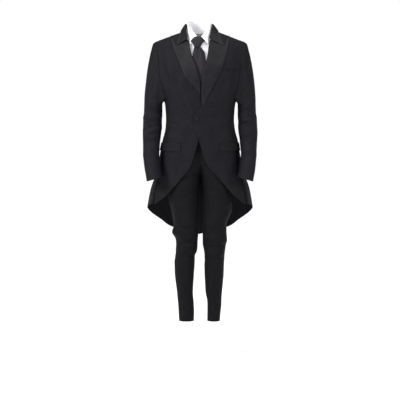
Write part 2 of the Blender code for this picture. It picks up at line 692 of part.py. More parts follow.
def lapel(side):
    """The surface of a lapel, which lies on its front. Rows run from its foot to the gorge and the peak.

    Columns run from -1 inside the front's edge, round the fold at 0, to 1 at the outer edge.
    """
    mirror = 1 if side == "left" else -1
    foot = LAPEL_FOOT_Z[side]
    gorge = GORGE_FOLD[side]
    radius = COAT_CLOTH / 2 + LYING_GAP + SEAM_GAP + SATIN
    peak_share = 0.72

    def top(column):
        if column < peak_share:
            return gorge.lerp(NOTCH, column / peak_share)
        return NOTCH.lerp(PEAK_TIP, (column - peak_share) / (1 - peak_share))

    def flat(column, row):
        fold_z = mix(foot, gorge.z, row)
        edge_z = mix(foot, PEAK_TIP.z, row)
        fold = Vector((read(FRONT_EDGE, side, fold_z), 0, fold_z))
        edge = Vector((max(fold.x + 0.006, read(LAPEL_EDGE, side, edge_z)), 0, edge_z))
        place = fold.lerp(edge, column)
        return place + (top(column) - gorge.lerp(PEAK_TIP, column)) * row**3

    def surface(column, row):
        place = flat(max(column, 0.0), row)
        place = on_front(place.x, place.z, LYING_GAP + SEAM_GAP + SATIN)
        if side == "left":
            place.y -= overlap(place.x, place.z)
        place.y -= 0.0022 * bump(0.0, 0.5, column) * row
        if column < 0:
            turn = -column * math.radians(mix(40, 165, ease(0.15, 0.4, row)))
            place.y += radius * (1 - math.cos(turn))
            place.x -= radius * math.sin(turn)
        return Vector((mirror * place.x, place.y, place.z))

    return surface


# How far from the centre back a collar's curve is still level
COLLAR_SOFT_BACK = 0.08


def collar_station(table, name, at):
    """A point of a collar's table, with no corner at the centre back."""
    share = abs(at)
    level = share * share * (1 + COLLAR_SOFT_BACK) / (share + COLLAR_SOFT_BACK)
    x = math.copysign(read(table, name + "_x", share), at)
    return Vector((x, read(table, name + "_y", level), read(table, name + "_z", level)))


COLLAR_FOLD_RADIUS = 0.0030


def coat_collar(at, across):
    """The coat's collar. at runs from -1 at the right gorge, through 0 at the back, to 1 at the left one.

    across runs from 0 at the neck seam, up the stand, over the fold at 0.5, to 1 at the outer edge.
    """
    seam = collar_station(COLLAR, "seam", at)
    fold = collar_station(COLLAR, "fold", at)
    edge = collar_station(COLLAR, "edge", at)
    fold.x -= NECK_LEAN + 0.0055 * ease(-0.55, -1.0, at)
    edge.x -= NECK_LEAN * 0.6 * ease(1.0, 0.6, abs(at))
    seam.x -= 0.0075 * ease(-0.55, -1.0, at)
    outwards = (edge - seam)
    outwards = Vector((outwards.x, outwards.y, 0)).normalized()
    inner = fold - outwards * COLLAR_FOLD_RADIUS
    outer = fold + outwards * COLLAR_FOLD_RADIUS
    if across < 0.4:
        return seam.lerp(inner, across / 0.4)
    if across <= 0.6:
        turn = math.pi * (across - 0.4) / 0.2
        rise = Vector((0, 0, COLLAR_FOLD_RADIUS * math.sin(turn)))
        return fold - outwards * COLLAR_FOLD_RADIUS * math.cos(turn) + rise
    place = outer.lerp(edge, (across - 0.6) / 0.4)
    clear = on_front(place.x, place.z, 1.5 * SEAM_GAP + COAT_CLOTH, back=at * at < 0.24)
    if abs(at) > 0.55:
        place.y = min(place.y, clear.y)
    elif abs(at) < 0.45:
        place.y = max(place.y, clear.y)
    return place


def shirt_collar(at, across):
    """The shirt collar's leaf, from its fold (0) to its edge (1)."""
    fold = collar_station(SHIRT_COLLAR, "fold", at)
    edge = collar_station(SHIRT_COLLAR, "edge", at)
    place = fold.lerp(edge, across)
    place.x -= SHIRT_LEAN * ease(0.25, 0.8, abs(at))
    belly = 0.003 * math.sin(math.pi * across)
    away = Vector((place.x, place.y - 0.01, 0)).normalized()
    return place + away * belly


# The shirt and the tie


def shirt_front(side):
    mirror = 1 if side == "left" else -1

    def surface(column, row):
        start = math.pi / 2
        if row <= 1:
            lap = angle_at(SHIRT_LAP if side == "left" else 0.0, ARMPIT_Z, SHIRT)
            angle = mix(start, -lap, column)
            height = mix(SHIRT_TAIL_Z, ARMPIT_Z, row) - ARMPIT_Z
        else:
            share = shoulder_share(row)
            angle, height = yoke_place(column, share, start, shirt_armhole, SHIRT_NECK, SHIRT, SHIRT_DROP)
            lap = angle_at(SHIRT_LAP if side == "left" else 0.0, ARMPIT_Z, SHIRT)
            angle -= lap * max(0.0, column - 0.5) * 2 * (1 - share**6)
        point = body_point(angle, height, SHIRT, SHIRT_DROP)
        if side == "left":
            point.y -= SHIRT_LAP_LIFT * (1 - ease(0.012, 0.035, point.x))
        if row >= 2 and height >= 1:
            point.y -= SEAM_GAP / 2
        return Vector((mirror * point.x, point.y, point.z))

    return surface


def shirt_armhole(share):
    angle, height = armhole_place(share)
    return mix(math.pi / 2, angle - 0.06, ease(0, 0.4, share)) if share < 1 else angle, height


def shirt_back(across, row):
    """The shirt's back, across from the right (-1) to the left (1) side seam."""
    column = 1 - abs(across)
    if row <= 1:
        angle = mix(math.pi / 2, 0.0, column)
        height = mix(SHIRT_TAIL_Z, ARMPIT_Z, row) - ARMPIT_Z
    else:
        share = shoulder_share(row)
        start = math.pi / 2
        angle, height = yoke_place(column, share, start, shirt_armhole, SHIRT_BACK_NECK, SHIRT, SHIRT_DROP)
    point = body_point(math.pi - angle, height, SHIRT, SHIRT_DROP)
    if row >= 2 and height >= 1:
        point.y += SEAM_GAP / 2
    return Vector((math.copysign(point.x, across), point.y, point.z))


def tie_blade(across, down):
    """The tie's blade on the shirt, across from -1 to 1, and down from the knot (0) to the point (1)."""
    z = mix(TIE[-1].z, TIE[0].z, down)
    half = read(TIE, "half_width", z)
    x = read(TIE, "centre", z) + half * across
    lift = SHIRT_LAP_LIFT + TIE_CLOTH - 0.0003 + 0.005 * ease(-0.13, -0.05, z)
    lift += 0.0070 * ease(-0.345, -0.380, z)
    point = on_front(x, z, lift, SHIRT, SHIRT_DROP)
    point.y -= 0.0012 * (1 - across * across)
    return point


# The trousers


def leg_point(side, turn, z):
    """A point of a trouser leg. turn is 0 at the inner side (or the middle seam) and 1 at the outer side.

    It is positive for the front and negative for the back.
    """
    outer = read(LEGS, side + "_outer", z)
    inner = read(LEGS, side + "_inner", z)
    mirror = 1 if side == "left" else -1
    middle = CROTCH_X * mirror * (1 - ease(CROTCH_Z, -0.5, z))
    centre = (outer + inner) / 2
    half = (outer - inner) / 2
    reach = max(-1.0, (middle - centre) / half) if z > CROTCH_Z else -1.0
    start = math.acos(power(reach, LEG_POWER / 2))
    angle = (1 - abs(turn)) * (start + 0.8 * (math.pi - start) * abs(turn))
    degrees = math.degrees(angle) * (1 if turn > 0 else -1)
    fold = crease(LEG_CREASES, side, z, degrees)
    x = centre + (half + fold * 0.6) * power(math.cos(angle), 2 / LEG_POWER)
    x = max(x, middle) + SEAM_GAP / 2
    depth = read(LEGS, "front" if turn > 0 else "back", z) + fold
    y = read(LEGS, "middle_y", z) - math.copysign(depth, turn) * power(math.sin(angle), 2 / LEG_POWER)
    return Vector((mirror * x, y, z))


def trouser_panel(side, facing_front):
    """The surface of half a leg: columns from the inner seam (0) to the outer one (1), and rows in z."""
    sign = 1 if facing_front else -1

    def surface(column, z):
        return leg_point(side, sign * max(column, 1e-6), z)

    return surface


# Making the walls


def material(name, colour, roughness):
    made = bpy.data.materials.new(name)
    made.use_nodes = True
    shader = made.node_tree.nodes["Principled BSDF"]
    shader.inputs["Base Color"].default_value = (*colour, 1)
    shader.inputs["Roughness"].default_value = roughness
    return made


def finish(name, mesh, surface_material):
    """Turns a bmesh into a named object, its faces pointing out."""
    bmesh.ops.recalc_face_normals(mesh, faces=mesh.faces[:])
    if mesh.calc_volume(signed=True) < 0:
        bmesh.ops.reverse_faces(mesh, faces=mesh.faces[:])
    data = bpy.data.meshes.new(name)
    mesh.to_mesh(data)
    mesh.free()
    data.materials.append(surface_material)
    data.shade_smooth()
    data.set_sharp_from_angle(angle=math.radians(50))
    made = bpy.data.objects.new(name, data)
    bpy.context.scene.collection.objects.link(made)
    return made


def facing(surface, u, v, outwards):
    """The unit normal of a surface, from four points close by."""
    step = 1e-3
    across = surface(u + step, v) - surface(u - step, v)
    along = surface(u, v + step) - surface(u, v - step)
    return across.cross(along).normalized() * outwards


def wall(name, surface, columns, rows, thickness, outwards, surface_material):
    """A closed wall of cloth whose outer face is surface(column, row).

    outwards is 1 where columns crossed with rows point out of the garment, and -1 where they point in.
    """
    mesh = bmesh.new()
    bmesh.ops.create_grid(mesh, x_segments=len(columns) - 1, y_segments=len(rows) - 1, size=0.5)
    bmesh.ops.triangulate(mesh, faces=mesh.faces[:], quad_method="FIXED")
    outer = mesh.verts[:]
    copied = bmesh.ops.extrude_face_region(mesh, geom=mesh.faces[:], use_keep_orig=True)["geom"]
    inner = [item for item in copied if isinstance(item, bmesh.types.BMVert)]
    for depth, vertices in ((0.0, outer), (thickness, inner)):
        for vertex in vertices:
            u = columns[round((vertex.co.x + 0.5) * (len(columns) - 1))]
            v = rows[round((vertex.co.y + 0.5) * (len(rows) - 1))]
            vertex.co = surface(u, v) - facing(surface, u, v, outwards) * depth
    return finish(name, mesh, surface_material)


def spaced(start, end, cells):
    return [mix(start, end, i / cells) for i in range(cells + 1)]


def clear_scene():
    for old in list(bpy.data.objects):
        bpy.data.objects.remove(old)


FRONT_COLUMNS = 9
SIDE_COLUMNS = 4
BACK_COLUMNS = 8
SHIRT_ROWS = [0, 0.35, 0.7, 1, 1.2, 1.4, 1.6, 1.75, 1.88, 2]
TROUSER_ROWS = (
    spaced(TROUSER_HEM_Z, -1.100, 4)
    + spaced(-1.076, -0.880, 13)
    + spaced(-0.845, -0.700, 4)
    + [-0.680, CROTCH_Z, -0.654, -0.640, -0.620, -0.600, -0.570, -0.535, -0.480, -0.4235]
)


def build_coat_body(cloth):
    rows = coat_rows()
    side_rows = [row for row in rows if row <= 1]
    side_rows[-1] = 0.998
    gap = 0.0008
    for side, mirror in (("left", 1), ("right", -1)):
        across = spaced(0, 1 - gap, FRONT_COLUMNS)
        wall("coat_front_" + side, coat_front(side), across, rows, COAT_CLOTH, mirror, cloth)
        across = spaced(gap, 1 - gap, SIDE_COLUMNS)
        wall("coat_side_" + side, coat_side(side), across, side_rows, COAT_CLOTH, mirror, cloth)
        across = spaced(gap, 1, BACK_COLUMNS)
        wall("coat_back_" + side, coat_back(side), across, rows, COAT_CLOTH, mirror, cloth)


def build_sleeves(cloth):
    rows = spaced(0, 1, 6) + [1 + (SLEEVE_TOP_Z - z) / (SLEEVE_TOP_Z - CUFF_Z) for z in SLEEVE_ROW_LEVELS]
    gap = 0.010
    for side, mirror in (("left", 1), ("right", -1)):
        top_columns = spaced(SLEEVE_BACK_SEAM - SLEEVE_AROUND + gap, SLEEVE_FRONT_SEAM - gap, 12)
        under_columns = spaced(SLEEVE_FRONT_SEAM + gap, SLEEVE_BACK_SEAM - gap, 6)
        wall("sleeve_top_" + side, sleeve(side), top_columns, rows, COAT_CLOTH, mirror, cloth)
        wall("sleeve_under_" + side, sleeve(side), under_columns, rows, COAT_CLOTH, mirror, cloth)


SLEEVE_ROW_LEVELS = spaced(-0.348, -0.492, 11) + spaced(-0.520, CUFF_Z, 5)


def build_collar_and_lapels(satin):
    stations = spaced(-1, 1, 20)
    across = [0, 0.4, 0.45, 0.5, 0.55, 0.6, 0.73, 0.86, 1]
    wall("coat_collar", coat_collar, stations, across, 0.0020, 1, satin)
    columns = [-1, -0.66, -0.33, 0, 0.18, 0.36, 0.54, 0.72, 0.86, 1]
    for side, mirror in (("left", 1), ("right", -1)):
        wall("lapel_" + side, lapel(side), columns, spaced(0, 1, 12), SATIN, mirror, satin)


def flap(side):
    mirror = 1 if side == "left" else -1

    def surface(across, down):
        top_angle = angle_at(FLAP_FRONT_X, FLAP_TOP_Z)
        angle = mix(top_angle, FLAP_BACK_ANGLE, across)
        z = mix(FLAP_TOP_Z, FLAP_FOOT_Z, down) + 0.004 * across
        point = body_point(angle, z - ARMPIT_Z)
        away = facing(lambda a, h: body_point(a, h), angle, z - ARMPIT_Z, 1)
        point += away * (LYING_GAP + COAT_CLOTH + 0.0010 * down)
        return Vector((mirror * point.x, point.y, point.z))

    return surface


def welt(across, up):
    x = mix(*WELT_X, across)
    z = mix(*WELT_FOOT_Z, across) + WELT_HEIGHT * up
    return on_front(x, z, SEAM_GAP + COAT_CLOTH)


def build_pockets(cloth):
    for side, mirror in (("left", 1), ("right", -1)):
        wall("flap_" + side, flap(side), spaced(0, 1, 8), [0, 0.5, 1], COAT_CLOTH, -mirror, cloth)
    wall("breast_welt", welt, spaced(0, 1, 6), [0, 0.5, 1], COAT_CLOTH, 1, cloth)


def build_button(plastic):
    x, z = BUTTON_CENTRE
    seat = body_y(abs(x), z) - overlap(x, z) - 2 * SEAM_GAP
    mesh = bmesh.new()
    radius = BUTTON_RADIUS
    bmesh.ops.create_cone(mesh, cap_ends=True, segments=24, radius1=radius, radius2=radius, depth=BUTTON_HEIGHT)
    top = [face for face in mesh.faces if face.normal.z > 0.9]
    bmesh.ops.inset_region(mesh, faces=top, thickness=0.0018, depth=-0.0008)
    middle = Vector((x, seat - BUTTON_HEIGHT / 2, z))
    for vertex in mesh.verts:
        vertex.co = Vector((vertex.co.x, -vertex.co.z, vertex.co.y)) + middle
    finish("coat_button", mesh, plastic)


def build_trousers(cloth):
    gap = 0.0012
    columns = spaced(gap, 1 - gap, 6)
    for side, mirror in (("left", 1), ("right", -1)):
        for name, front in (("front", True), ("back", False)):
            out = mirror if front else -mirror
            panel = trouser_panel(side, front)
            wall(f"trouser_{name}_{side}", panel, columns, TROUSER_ROWS, TROUSER_CLOTH, out, cloth)


def build_waist(cloth):
    low = TROUSER_WAIST_Z - WAISTBAND_DEPTH + SEAM_GAP
    top_rows = [low, TROUSER_WAIST_Z - WAISTBAND_DEPTH / 2, TROUSER_WAIST_Z]
    for side, mirror in (("left", 1), ("right", -1)):
        def around(place, z, side=side):
            """place runs from 0 at the centre front, through the side at 1, to 2 at the centre back."""
            return leg_point(side, max(place, 1e-6) if place <= 1 else -max(2 - place, 1e-6), z)

        wall("waistband_" + side, around, spaced(0, 2, 12), top_rows, TROUSER_CLOTH, mirror, cloth)


def fly(across, z):
    """The fly lies on the left front, from the middle seam outwards."""
    point = leg_point("left", mix(0.012, 0.24, across), z)
    step = 1e-3
    along = leg_point("left", mix(0.012, 0.24, across) + step, z) - point
    away = along.cross(leg_point("left", mix(0.012, 0.24, across), z + step) - point).normalized()
    return point + away * (LYING_GAP + TROUSER_CLOTH)


def shirt_stand(at, up):
    """The stand of the shirt's collar, from the neck seam (0) up to just inside the fold (1)."""
    fold = collar_station(SHIRT_COLLAR, "fold", at)
    away = Vector((fold.x, fold.y - 0.005, 0)).normalized()
    lean = SHIRT_LEAN * ease(0.25, 0.8, abs(at)) * (1.0 if at > 0 else 0.0)
    top = fold - away * STAND_INSET - Vector((lean, 0, 0.002))
    foot = top + away * 0.001
    foot.z = mix(STAND_FOOT_BACK_Z, STAND_FOOT_FRONT_Z, ease(0.2, 1.0, abs(at)))
    foot.z -= 0.006 * ease(0.25, 0, abs(at))
    return foot.lerp(top, up)


def build_knot(silk):
    """The knot is a soft wedge, wide at the top, with its front rounded and its back flat on the collar."""
    rings = 7
    mesh = bmesh.new()
    around = 16
    bmesh.ops.create_cone(mesh, cap_ends=True, segments=around, radius1=1, radius2=1, depth=2)
    sides = [edge for edge in mesh.edges if abs(edge.verts[0].co.z - edge.verts[1].co.z) > 1]
    bmesh.ops.subdivide_edges(mesh, edges=sides, cuts=rings)
    for vertex in mesh.verts:
        down = (1 - vertex.co.z) / 2
        across = vertex.co.x
        z = mix(KNOT_TOP_Z, KNOT_FOOT_Z, down) + 0.0050 * (1 - across * across) * (1 - down) ** 3
        deep = mix(0.0075, 0.0060, down) * mix(0.6, 1, ease(0, 0.25, down))
        deep *= mix(1, 0.75, ease(0.8, 1, down))
        y = mix(-0.0665, -0.0843, down) + deep * (vertex.co.y if vertex.co.y < 0 else 0.25 * vertex.co.y)
        x = read(KNOT, "centre", down) + read(KNOT, "half_width", down) * across
        vertex.co = Vector((x, y, z))
    finish("tie_knot", mesh, silk)


clear_scene()
COAT_WOOL = material("coat_wool", (0.02, 0.02, 0.022), 0.8)
SATIN_FACING = material("satin_facing", (0.03, 0.027, 0.028), 0.35)
TROUSER_WOOL = material("trouser_wool", (0.018, 0.018, 0.02), 0.85)
SHIRT_COTTON = material("shirt_cotton", (0.85, 0.85, 0.86), 0.8)
TIE_SILK = material("tie_silk", (0.025, 0.025, 0.03), 0.4)
BUTTON_PLASTIC = material("button_plastic", (0.015, 0.015, 0.015), 0.4)
build_coat_body(COAT_WOOL)
build_sleeves(COAT_WOOL)
build_collar_and_lapels(SATIN_FACING)
build_pockets(COAT_WOOL)
build_button(BUTTON_PLASTIC)
build_trousers(TROUSER_WOOL)
build_waist(TROUSER_WOOL)
wall("trouser_fly", fly, spaced(0, 1, 3), spaced(-0.605, -0.4235, 6), TROUSER_CLOTH, 1, TROUSER_WOOL)
wall("shirt_collar", shirt_collar, spaced(-1, 1, 20), [0, 0.33, 0.66, 1], SHIRT_CLOTH, 1, SHIRT_COTTON)
wall("shirt_collar_stand", shirt_stand, spaced(-1, 1, 20), [0, 0.5, 1], SHIRT_CLOTH, -1, SHIRT_COTTON)
SHIRT_COLUMNS = [0.002, 0.2, 0.4, 0.58, 0.72, 0.84, 0.93, 1]
for side, mirror in (("left", 1), ("right", -1)):
    front = shirt_front(side)
    wall("shirt_front_" + side, front, SHIRT_COLUMNS, SHIRT_ROWS, SHIRT_CLOTH, -mirror, SHIRT_COTTON)
wall("shirt_back", shirt_back, spaced(-0.998, 0.998, 14), SHIRT_ROWS, SHIRT_CLOTH, -1, SHIRT_COTTON)
wall("tie_blade", tie_blade, spaced(-1, 1, 4), spaced(0, 1, 14), TIE_CLOTH, -1, TIE_SILK)
build_knot(TIE_SILK)
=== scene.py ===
"""An evening suit in its worn form: cut-away tail coat, slim trousers, white shirt and necktie.

Metres, +Z up, and the front faces -Y. Left and right are the wearer's, so left is +X.
"""

import math
from bisect import bisect_right
from collections import namedtuple

import bmesh
import bpy
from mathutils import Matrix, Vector, noise


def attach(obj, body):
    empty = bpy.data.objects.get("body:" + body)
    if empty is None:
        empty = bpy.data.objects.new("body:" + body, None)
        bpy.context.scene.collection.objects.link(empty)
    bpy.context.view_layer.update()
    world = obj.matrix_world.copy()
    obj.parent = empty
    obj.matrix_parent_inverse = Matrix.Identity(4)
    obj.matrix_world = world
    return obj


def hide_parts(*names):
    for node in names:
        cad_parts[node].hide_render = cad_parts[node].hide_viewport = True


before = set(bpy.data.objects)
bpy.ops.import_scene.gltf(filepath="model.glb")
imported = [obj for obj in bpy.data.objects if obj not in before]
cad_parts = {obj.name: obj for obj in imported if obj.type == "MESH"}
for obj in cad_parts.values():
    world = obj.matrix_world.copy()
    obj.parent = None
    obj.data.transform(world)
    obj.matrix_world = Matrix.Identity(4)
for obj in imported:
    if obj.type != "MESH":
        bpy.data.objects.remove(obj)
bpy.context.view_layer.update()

# THE BODY OF THE COAT: two fronts cut away below the button, two side panels and two long backs.
# Fine black worsted, cut flat in six pieces and sewn edge to edge, shaped in at the waist and
# flared into rounded tails. The left front laps over the right one.
SIDES = (("left", 1), ("right", -1))
COAT_CLOTH = 0.0022
SEAM_GAP = 0.0003
LYING_GAP = 0.0012
ARMPIT_Z = -0.289
COAT_WAIST_Z = -0.430
FRONTS_PART_Z = -0.490
FRONT_SEAM = math.radians(62)
BACK_SEAM = math.radians(118)
SECTION_POWER = 2.35
SHOULDER_POWER = 2.6
OVERLAP_LIFT = 0.0040
OVERLAP_X = (0.020, 0.085)
OVERLAP_Z = (-0.30, -0.18)
COAT_NECK_HALF_WIDTH = 0.078
COAT_NECK_BACK_Z = -0.002
COAT_NECK_SHARE = 0.42
SEAM_DIP = 0.0009
SEAM_REACH = 0.035
ALLOWANCE_WIDTH = 0.008
ALLOWANCE_DROP = 0.0010
# The unevenness of soft cloth: how many waves lie in a metre, and how deep they are.
COAT_WAVES = ((9.0, 0.0016), (27.0, 0.0006))


def table(columns, *rows):
    """Rows of sizes with named columns. The first column is what the others are read by."""
    row_of = namedtuple("Row", columns)
    return tuple(row_of(*row) for row in rows)


COAT = table(
    "z half_width front back middle_y",
    (-0.945, 0.264, 0.136, 0.172, 0.052),
    (-0.806, 0.248, 0.128, 0.154, 0.042),
    (-0.722, 0.233, 0.122, 0.141, 0.032),
    (-0.629, 0.202, 0.116, 0.127, 0.020),
    (-0.536, 0.184, 0.111, 0.114, 0.010),
    (-0.489, 0.175, 0.108, 0.105, 0.005),
    (-0.443, 0.162, 0.106, 0.098, 0.001),
    (-0.400, 0.158, 0.106, 0.096, 0.000),
    (-0.330, 0.163, 0.112, 0.106, 0.000),
    (-0.289, 0.176, 0.117, 0.115, 0.000),
    (-0.240, 0.197, 0.119, 0.119, 0.000),
    (-0.177, 0.213, 0.116, 0.119, 0.001),
    (-0.118, 0.223, 0.106, 0.112, 0.002),
    (-0.055, 0.232, 0.092, 0.098, 0.003),
    (0.000, 0.238, 0.076, 0.082, 0.004),
    (0.060, 0.240, 0.062, 0.068, 0.004),
)
ARMHOLE = table(
    "z x",
    (-0.289, 0.1583),
    (-0.240, 0.174),
    (-0.177, 0.187),
    (-0.118, 0.192),
    (-0.062, 0.199),
    (-0.036, 0.209),
)
FRONT_EDGE = table(
    "z left right",
    (-0.490, -0.003, 0.010),
    (-0.455, -0.014, -0.003),
    (-0.425, -0.024, -0.012),
    (-0.394, -0.028, -0.015),
    (-0.365, -0.021, -0.015),
    (-0.329, 0.010, -0.010),
    (-0.289, 0.0090, 0.000),
    (-0.220, 0.0150, 0.006),
    (-0.160, 0.0256, 0.0190),
    (-0.106, 0.0380, 0.0400),
    (-0.066, 0.0435, 0.0490),
    (-0.023, 0.0490, 0.0570),
    (0.0139, 0.0780, 0.0780),
)
CUT_AWAY = table(
    "z half_opening",
    (-0.785, 0.2110),
    (-0.745, 0.1560),
    (-0.706, 0.1210),
    (-0.660, 0.0810),
    (-0.610, 0.0410),
    (-0.560, 0.0200),
    (-0.522, 0.0105),
    (-0.490, 0.0035),
)
CUT_AWAY_CENTRE_X = -0.0065
CUT_AWAY_CENTRED_Z = (-0.56, -0.66)
CUT_AWAY_SPREAD = 0.8
FLUTES_START_Z = COAT_WAIST_Z - 0.08
HEM = table(
    "angle z",
    (math.radians(62), -0.785),
    (math.radians(90), -0.795),
    (math.radians(104), -0.812),
    (math.radians(122), -0.847),
    (math.radians(138), -0.875),
    (math.radians(152), -0.905),
    (math.radians(180), -0.942),
)
FLUTES = table(
    "degrees half_angle depth",
    (80, 17, -0.005),
    (104, 15, 0.006),
    (129, 17, -0.008),
    (151, 14, 0.006),
    (172, 13, -0.005),
)
# Folds pressed into the coat by wearing, each along a line from one place to another. The front ones
# pull towards the button and out of the armholes, and those of the back and sides answer them.
FOLD_COLUMNS = "x z to_x to_z width depth bow"
FRONT_FOLDS = table(
    FOLD_COLUMNS,
    (-0.072, -0.292, -0.026, -0.380, 0.017, 0.0041, 0.004),
    (-0.112, -0.322, -0.036, -0.386, 0.014, 0.0024, -0.003),
    (-0.080, -0.386, -0.026, -0.395, 0.009, 0.0032, 0.002),
    (-0.066, -0.416, -0.024, -0.401, 0.009, 0.0024, 0.000),
    (-0.002, -0.378, 0.052, -0.350, 0.009, 0.0038, 0.002),
    (0.004, -0.350, 0.018, -0.364, 0.006, -0.0030, 0.000),
    (0.038, -0.376, 0.104, -0.330, 0.014, 0.0024, -0.004),
    (-0.024, -0.404, -0.006, -0.442, 0.008, 0.0024, 0.000),
    (-0.012, -0.400, 0.034, -0.436, 0.010, 0.0024, 0.003),
    (-0.184, -0.140, -0.149, -0.264, 0.021, -0.0054, 0.006),
    (0.180, -0.146, 0.150, -0.264, 0.021, -0.0054, -0.006),
    (-0.152, -0.100, -0.124, -0.238, 0.024, 0.0046, 0.004),
    (0.152, -0.190, 0.120, -0.266, 0.018, 0.0032, 0.000),
    (0.112, -0.264, 0.152, -0.238, 0.010, 0.0030, 0.000),
    (0.118, -0.246, 0.162, -0.222, 0.010, -0.0022, 0.000),
    (-0.150, -0.479, -0.092, -0.484, 0.008, 0.0026, 0.002),
    (-0.148, -0.496, -0.096, -0.498, 0.007, 0.0020, 0.000),
    (0.076, -0.483, 0.134, -0.478, 0.008, 0.0026, -0.002),
    (0.082, -0.498, 0.132, -0.494, 0.007, 0.0020, 0.000),
    (-0.098, -0.560, -0.084, -0.700, 0.024, 0.0041, 0.004),
    (0.104, -0.560, 0.128, -0.705, 0.024, 0.0041, -0.004),
    (-0.152, -0.398, -0.098, -0.428, 0.013, -0.0027, 0.000),
    (0.154, -0.402, 0.102, -0.434, 0.013, -0.0027, 0.000),
    (-0.060, -0.180, -0.082, -0.262, 0.026, 0.0027, 0.000),
)
BACK_FOLDS = table(
    FOLD_COLUMNS,
    (-0.124, -0.090, -0.084, -0.300, 0.027, 0.0036, 0.010),
    (0.112, -0.110, 0.090, -0.310, 0.025, 0.0034, -0.010),
    (-0.132, -0.394, -0.028, -0.410, 0.013, 0.0030, 0.004),
    (-0.118, -0.424, -0.036, -0.438, 0.012, -0.0024, 0.003),
    (0.128, -0.400, 0.030, -0.414, 0.013, 0.0032, -0.003),
    (0.116, -0.430, 0.026, -0.442, 0.011, -0.0024, 0.000),
    (-0.094, -0.030, 0.088, -0.036, 0.017, 0.0024, 0.004),
    (-0.164, -0.150, -0.124, -0.262, 0.019, -0.0036, 0.004),
    (0.160, -0.160, 0.122, -0.258, 0.019, -0.0036, -0.004),
    (-0.060, -0.470, -0.078, -0.640, 0.026, 0.0030, 0.006),
    (0.050, -0.480, 0.086, -0.660, 0.026, 0.0030, -0.006),
)

curves = {}


def curve_of(rows, column):
    """The keys, values and slopes of a table's column, worked out once."""
    keys = [row[0] for row in rows]
    values = [getattr(row, column) for row in rows]
    steps = [(b - a) / (j - i) for a, b, i, j in zip(values, values[1:], keys, keys[1:])]
    slopes = [steps[0]]
    slopes += [0.0 if a * b <= 0 else 2 * a * b / (a + b) for a, b in zip(steps, steps[1:])]
    return keys, values, slopes + [steps[-1]]


def read(rows, column, at):
    """A column's value on a smooth curve through the rows, which runs on straight past both ends."""
    key = id(rows), column
    if key not in curves:
        curves[key] = curve_of(rows, column)
    keys, values, slopes = curves[key]
    if at <= keys[0]:
        return values[0] + slopes[0] * (at - keys[0])
    if at >= keys[-1]:
        return values[-1] + slopes[-1] * (at - keys[-1])
    i = bisect_right(keys, at) - 1
    span = keys[i + 1] - keys[i]
    t = (at - keys[i]) / span
    start = (1 + 2 * t) * (1 - t) ** 2 * values[i] + t * (1 - t) ** 2 * span * slopes[i]
    return start + t * t * (3 - 2 * t) * values[i + 1] - t * t * (1 - t) * span * slopes[i + 1]


def mix(start, end, share):
    return start + (end - start) * share


def spaced(start, end, cells):
    return [mix(start, end, i / cells) for i in range(cells + 1)]


def ease(start, end, at):
    share = min(1.0, max(0.0, (at - start) / (end - start)))
    return share * share * (3 - 2 * share)


def bump(centre, half_width, at):
    share = min(1.0, abs(at - centre) / half_width)
    return (1 - share * share) ** 2


def power(value, exponent):
    return math.copysign(abs(value) ** exponent, value)


def rounding(share, exponent):
    return max(0.0, 1 - min(1.0, abs(share)) ** exponent) ** (1 / exponent)


def shoulder_z(x):
    """The height of the shoulder's ridge, which climbs beside the neck."""
    return 0.005 - 0.375 * (x - 0.1) + 13.6 * max(0.0, 0.085 - x) ** 2


def flute(angle, z):
    reach = ease(FLUTES_START_Z, CUT_AWAY[0].z, z)
    turn = math.degrees(angle)
    return reach * sum(row.depth * bump(row.degrees, row.half_angle, turn) for row in FLUTES)


def body_point(angle, height, form=COAT, drop=0.0):
    """A point of the coat or shirt on the left side, at an angle from the centre front.

    A height up to 0 is in metres below the armpit, and above 0 a share of the way to the shoulder.
    """
    across = power(math.sin(angle), 2 / SECTION_POWER)
    along = power(math.cos(angle), 2 / SECTION_POWER)
    z = ARMPIT_Z + min(height, 0.0)
    x = read(form, "half_width", z) * across
    closing = 1.0
    if height > 0:
        for _ in range(12):
            z = ARMPIT_Z + height * (shoulder_z(abs(x)) - drop - ARMPIT_Z)
            x = read(form, "half_width", z) * across
        closing = rounding(height, SHOULDER_POWER)
    depth = read(form, "front" if along > 0 else "back", z)
    point = Vector((x, read(form, "middle_y", z) - depth * along * closing, z))
    out = flute(abs(angle), z) if form is COAT else 0.0
    return point + Vector((out * across, -out * along, 0))


def body_y(x, z, form=COAT, back=False, drop=0.0):
    wide = min(1.0, abs(x) / read(form, "half_width", z))
    closing = 1.0
    if z > ARMPIT_Z:
        share = min(1.0, (z - ARMPIT_Z) / (shoulder_z(abs(x)) - drop - ARMPIT_Z))
        closing = rounding(share, SHOULDER_POWER)
    depth = read(form, "back" if back else "front", z) * closing * rounding(wide, SECTION_POWER)
    return read(form, "middle_y", z) + (depth if back else -depth)


def on_front(x, z, lift, form=COAT, drop=0.0, back=False):
    """A point that far above the front or back of the body, at a place seen from the front."""
    low = min(z, shoulder_z(abs(x)) - drop - 0.006)
    step = 1e-3
    y = body_y(x, low, form, back, drop)
    slope_x = (body_y(x + step, low, form, back, drop) - y) / step
    slope_z = (y - body_y(x, low - step, form, back, drop)) / step
    lean = min(2.5, math.sqrt(1 + slope_x**2 + slope_z**2))
    return Vector((x, y + lift * lean * (1 if back else -1), z))


def angle_at(x, z, form=COAT):
    share = min(1.0, abs(x) / read(form, "half_width", z))
    return math.copysign(math.asin(share ** (SECTION_POWER / 2)), x)


def height_at(x, z, drop=0.0):
    if z <= ARMPIT_Z:
        return z - ARMPIT_Z
    return min(1.0, (z - ARMPIT_Z) / (shoulder_z(abs(x)) - drop - ARMPIT_Z))


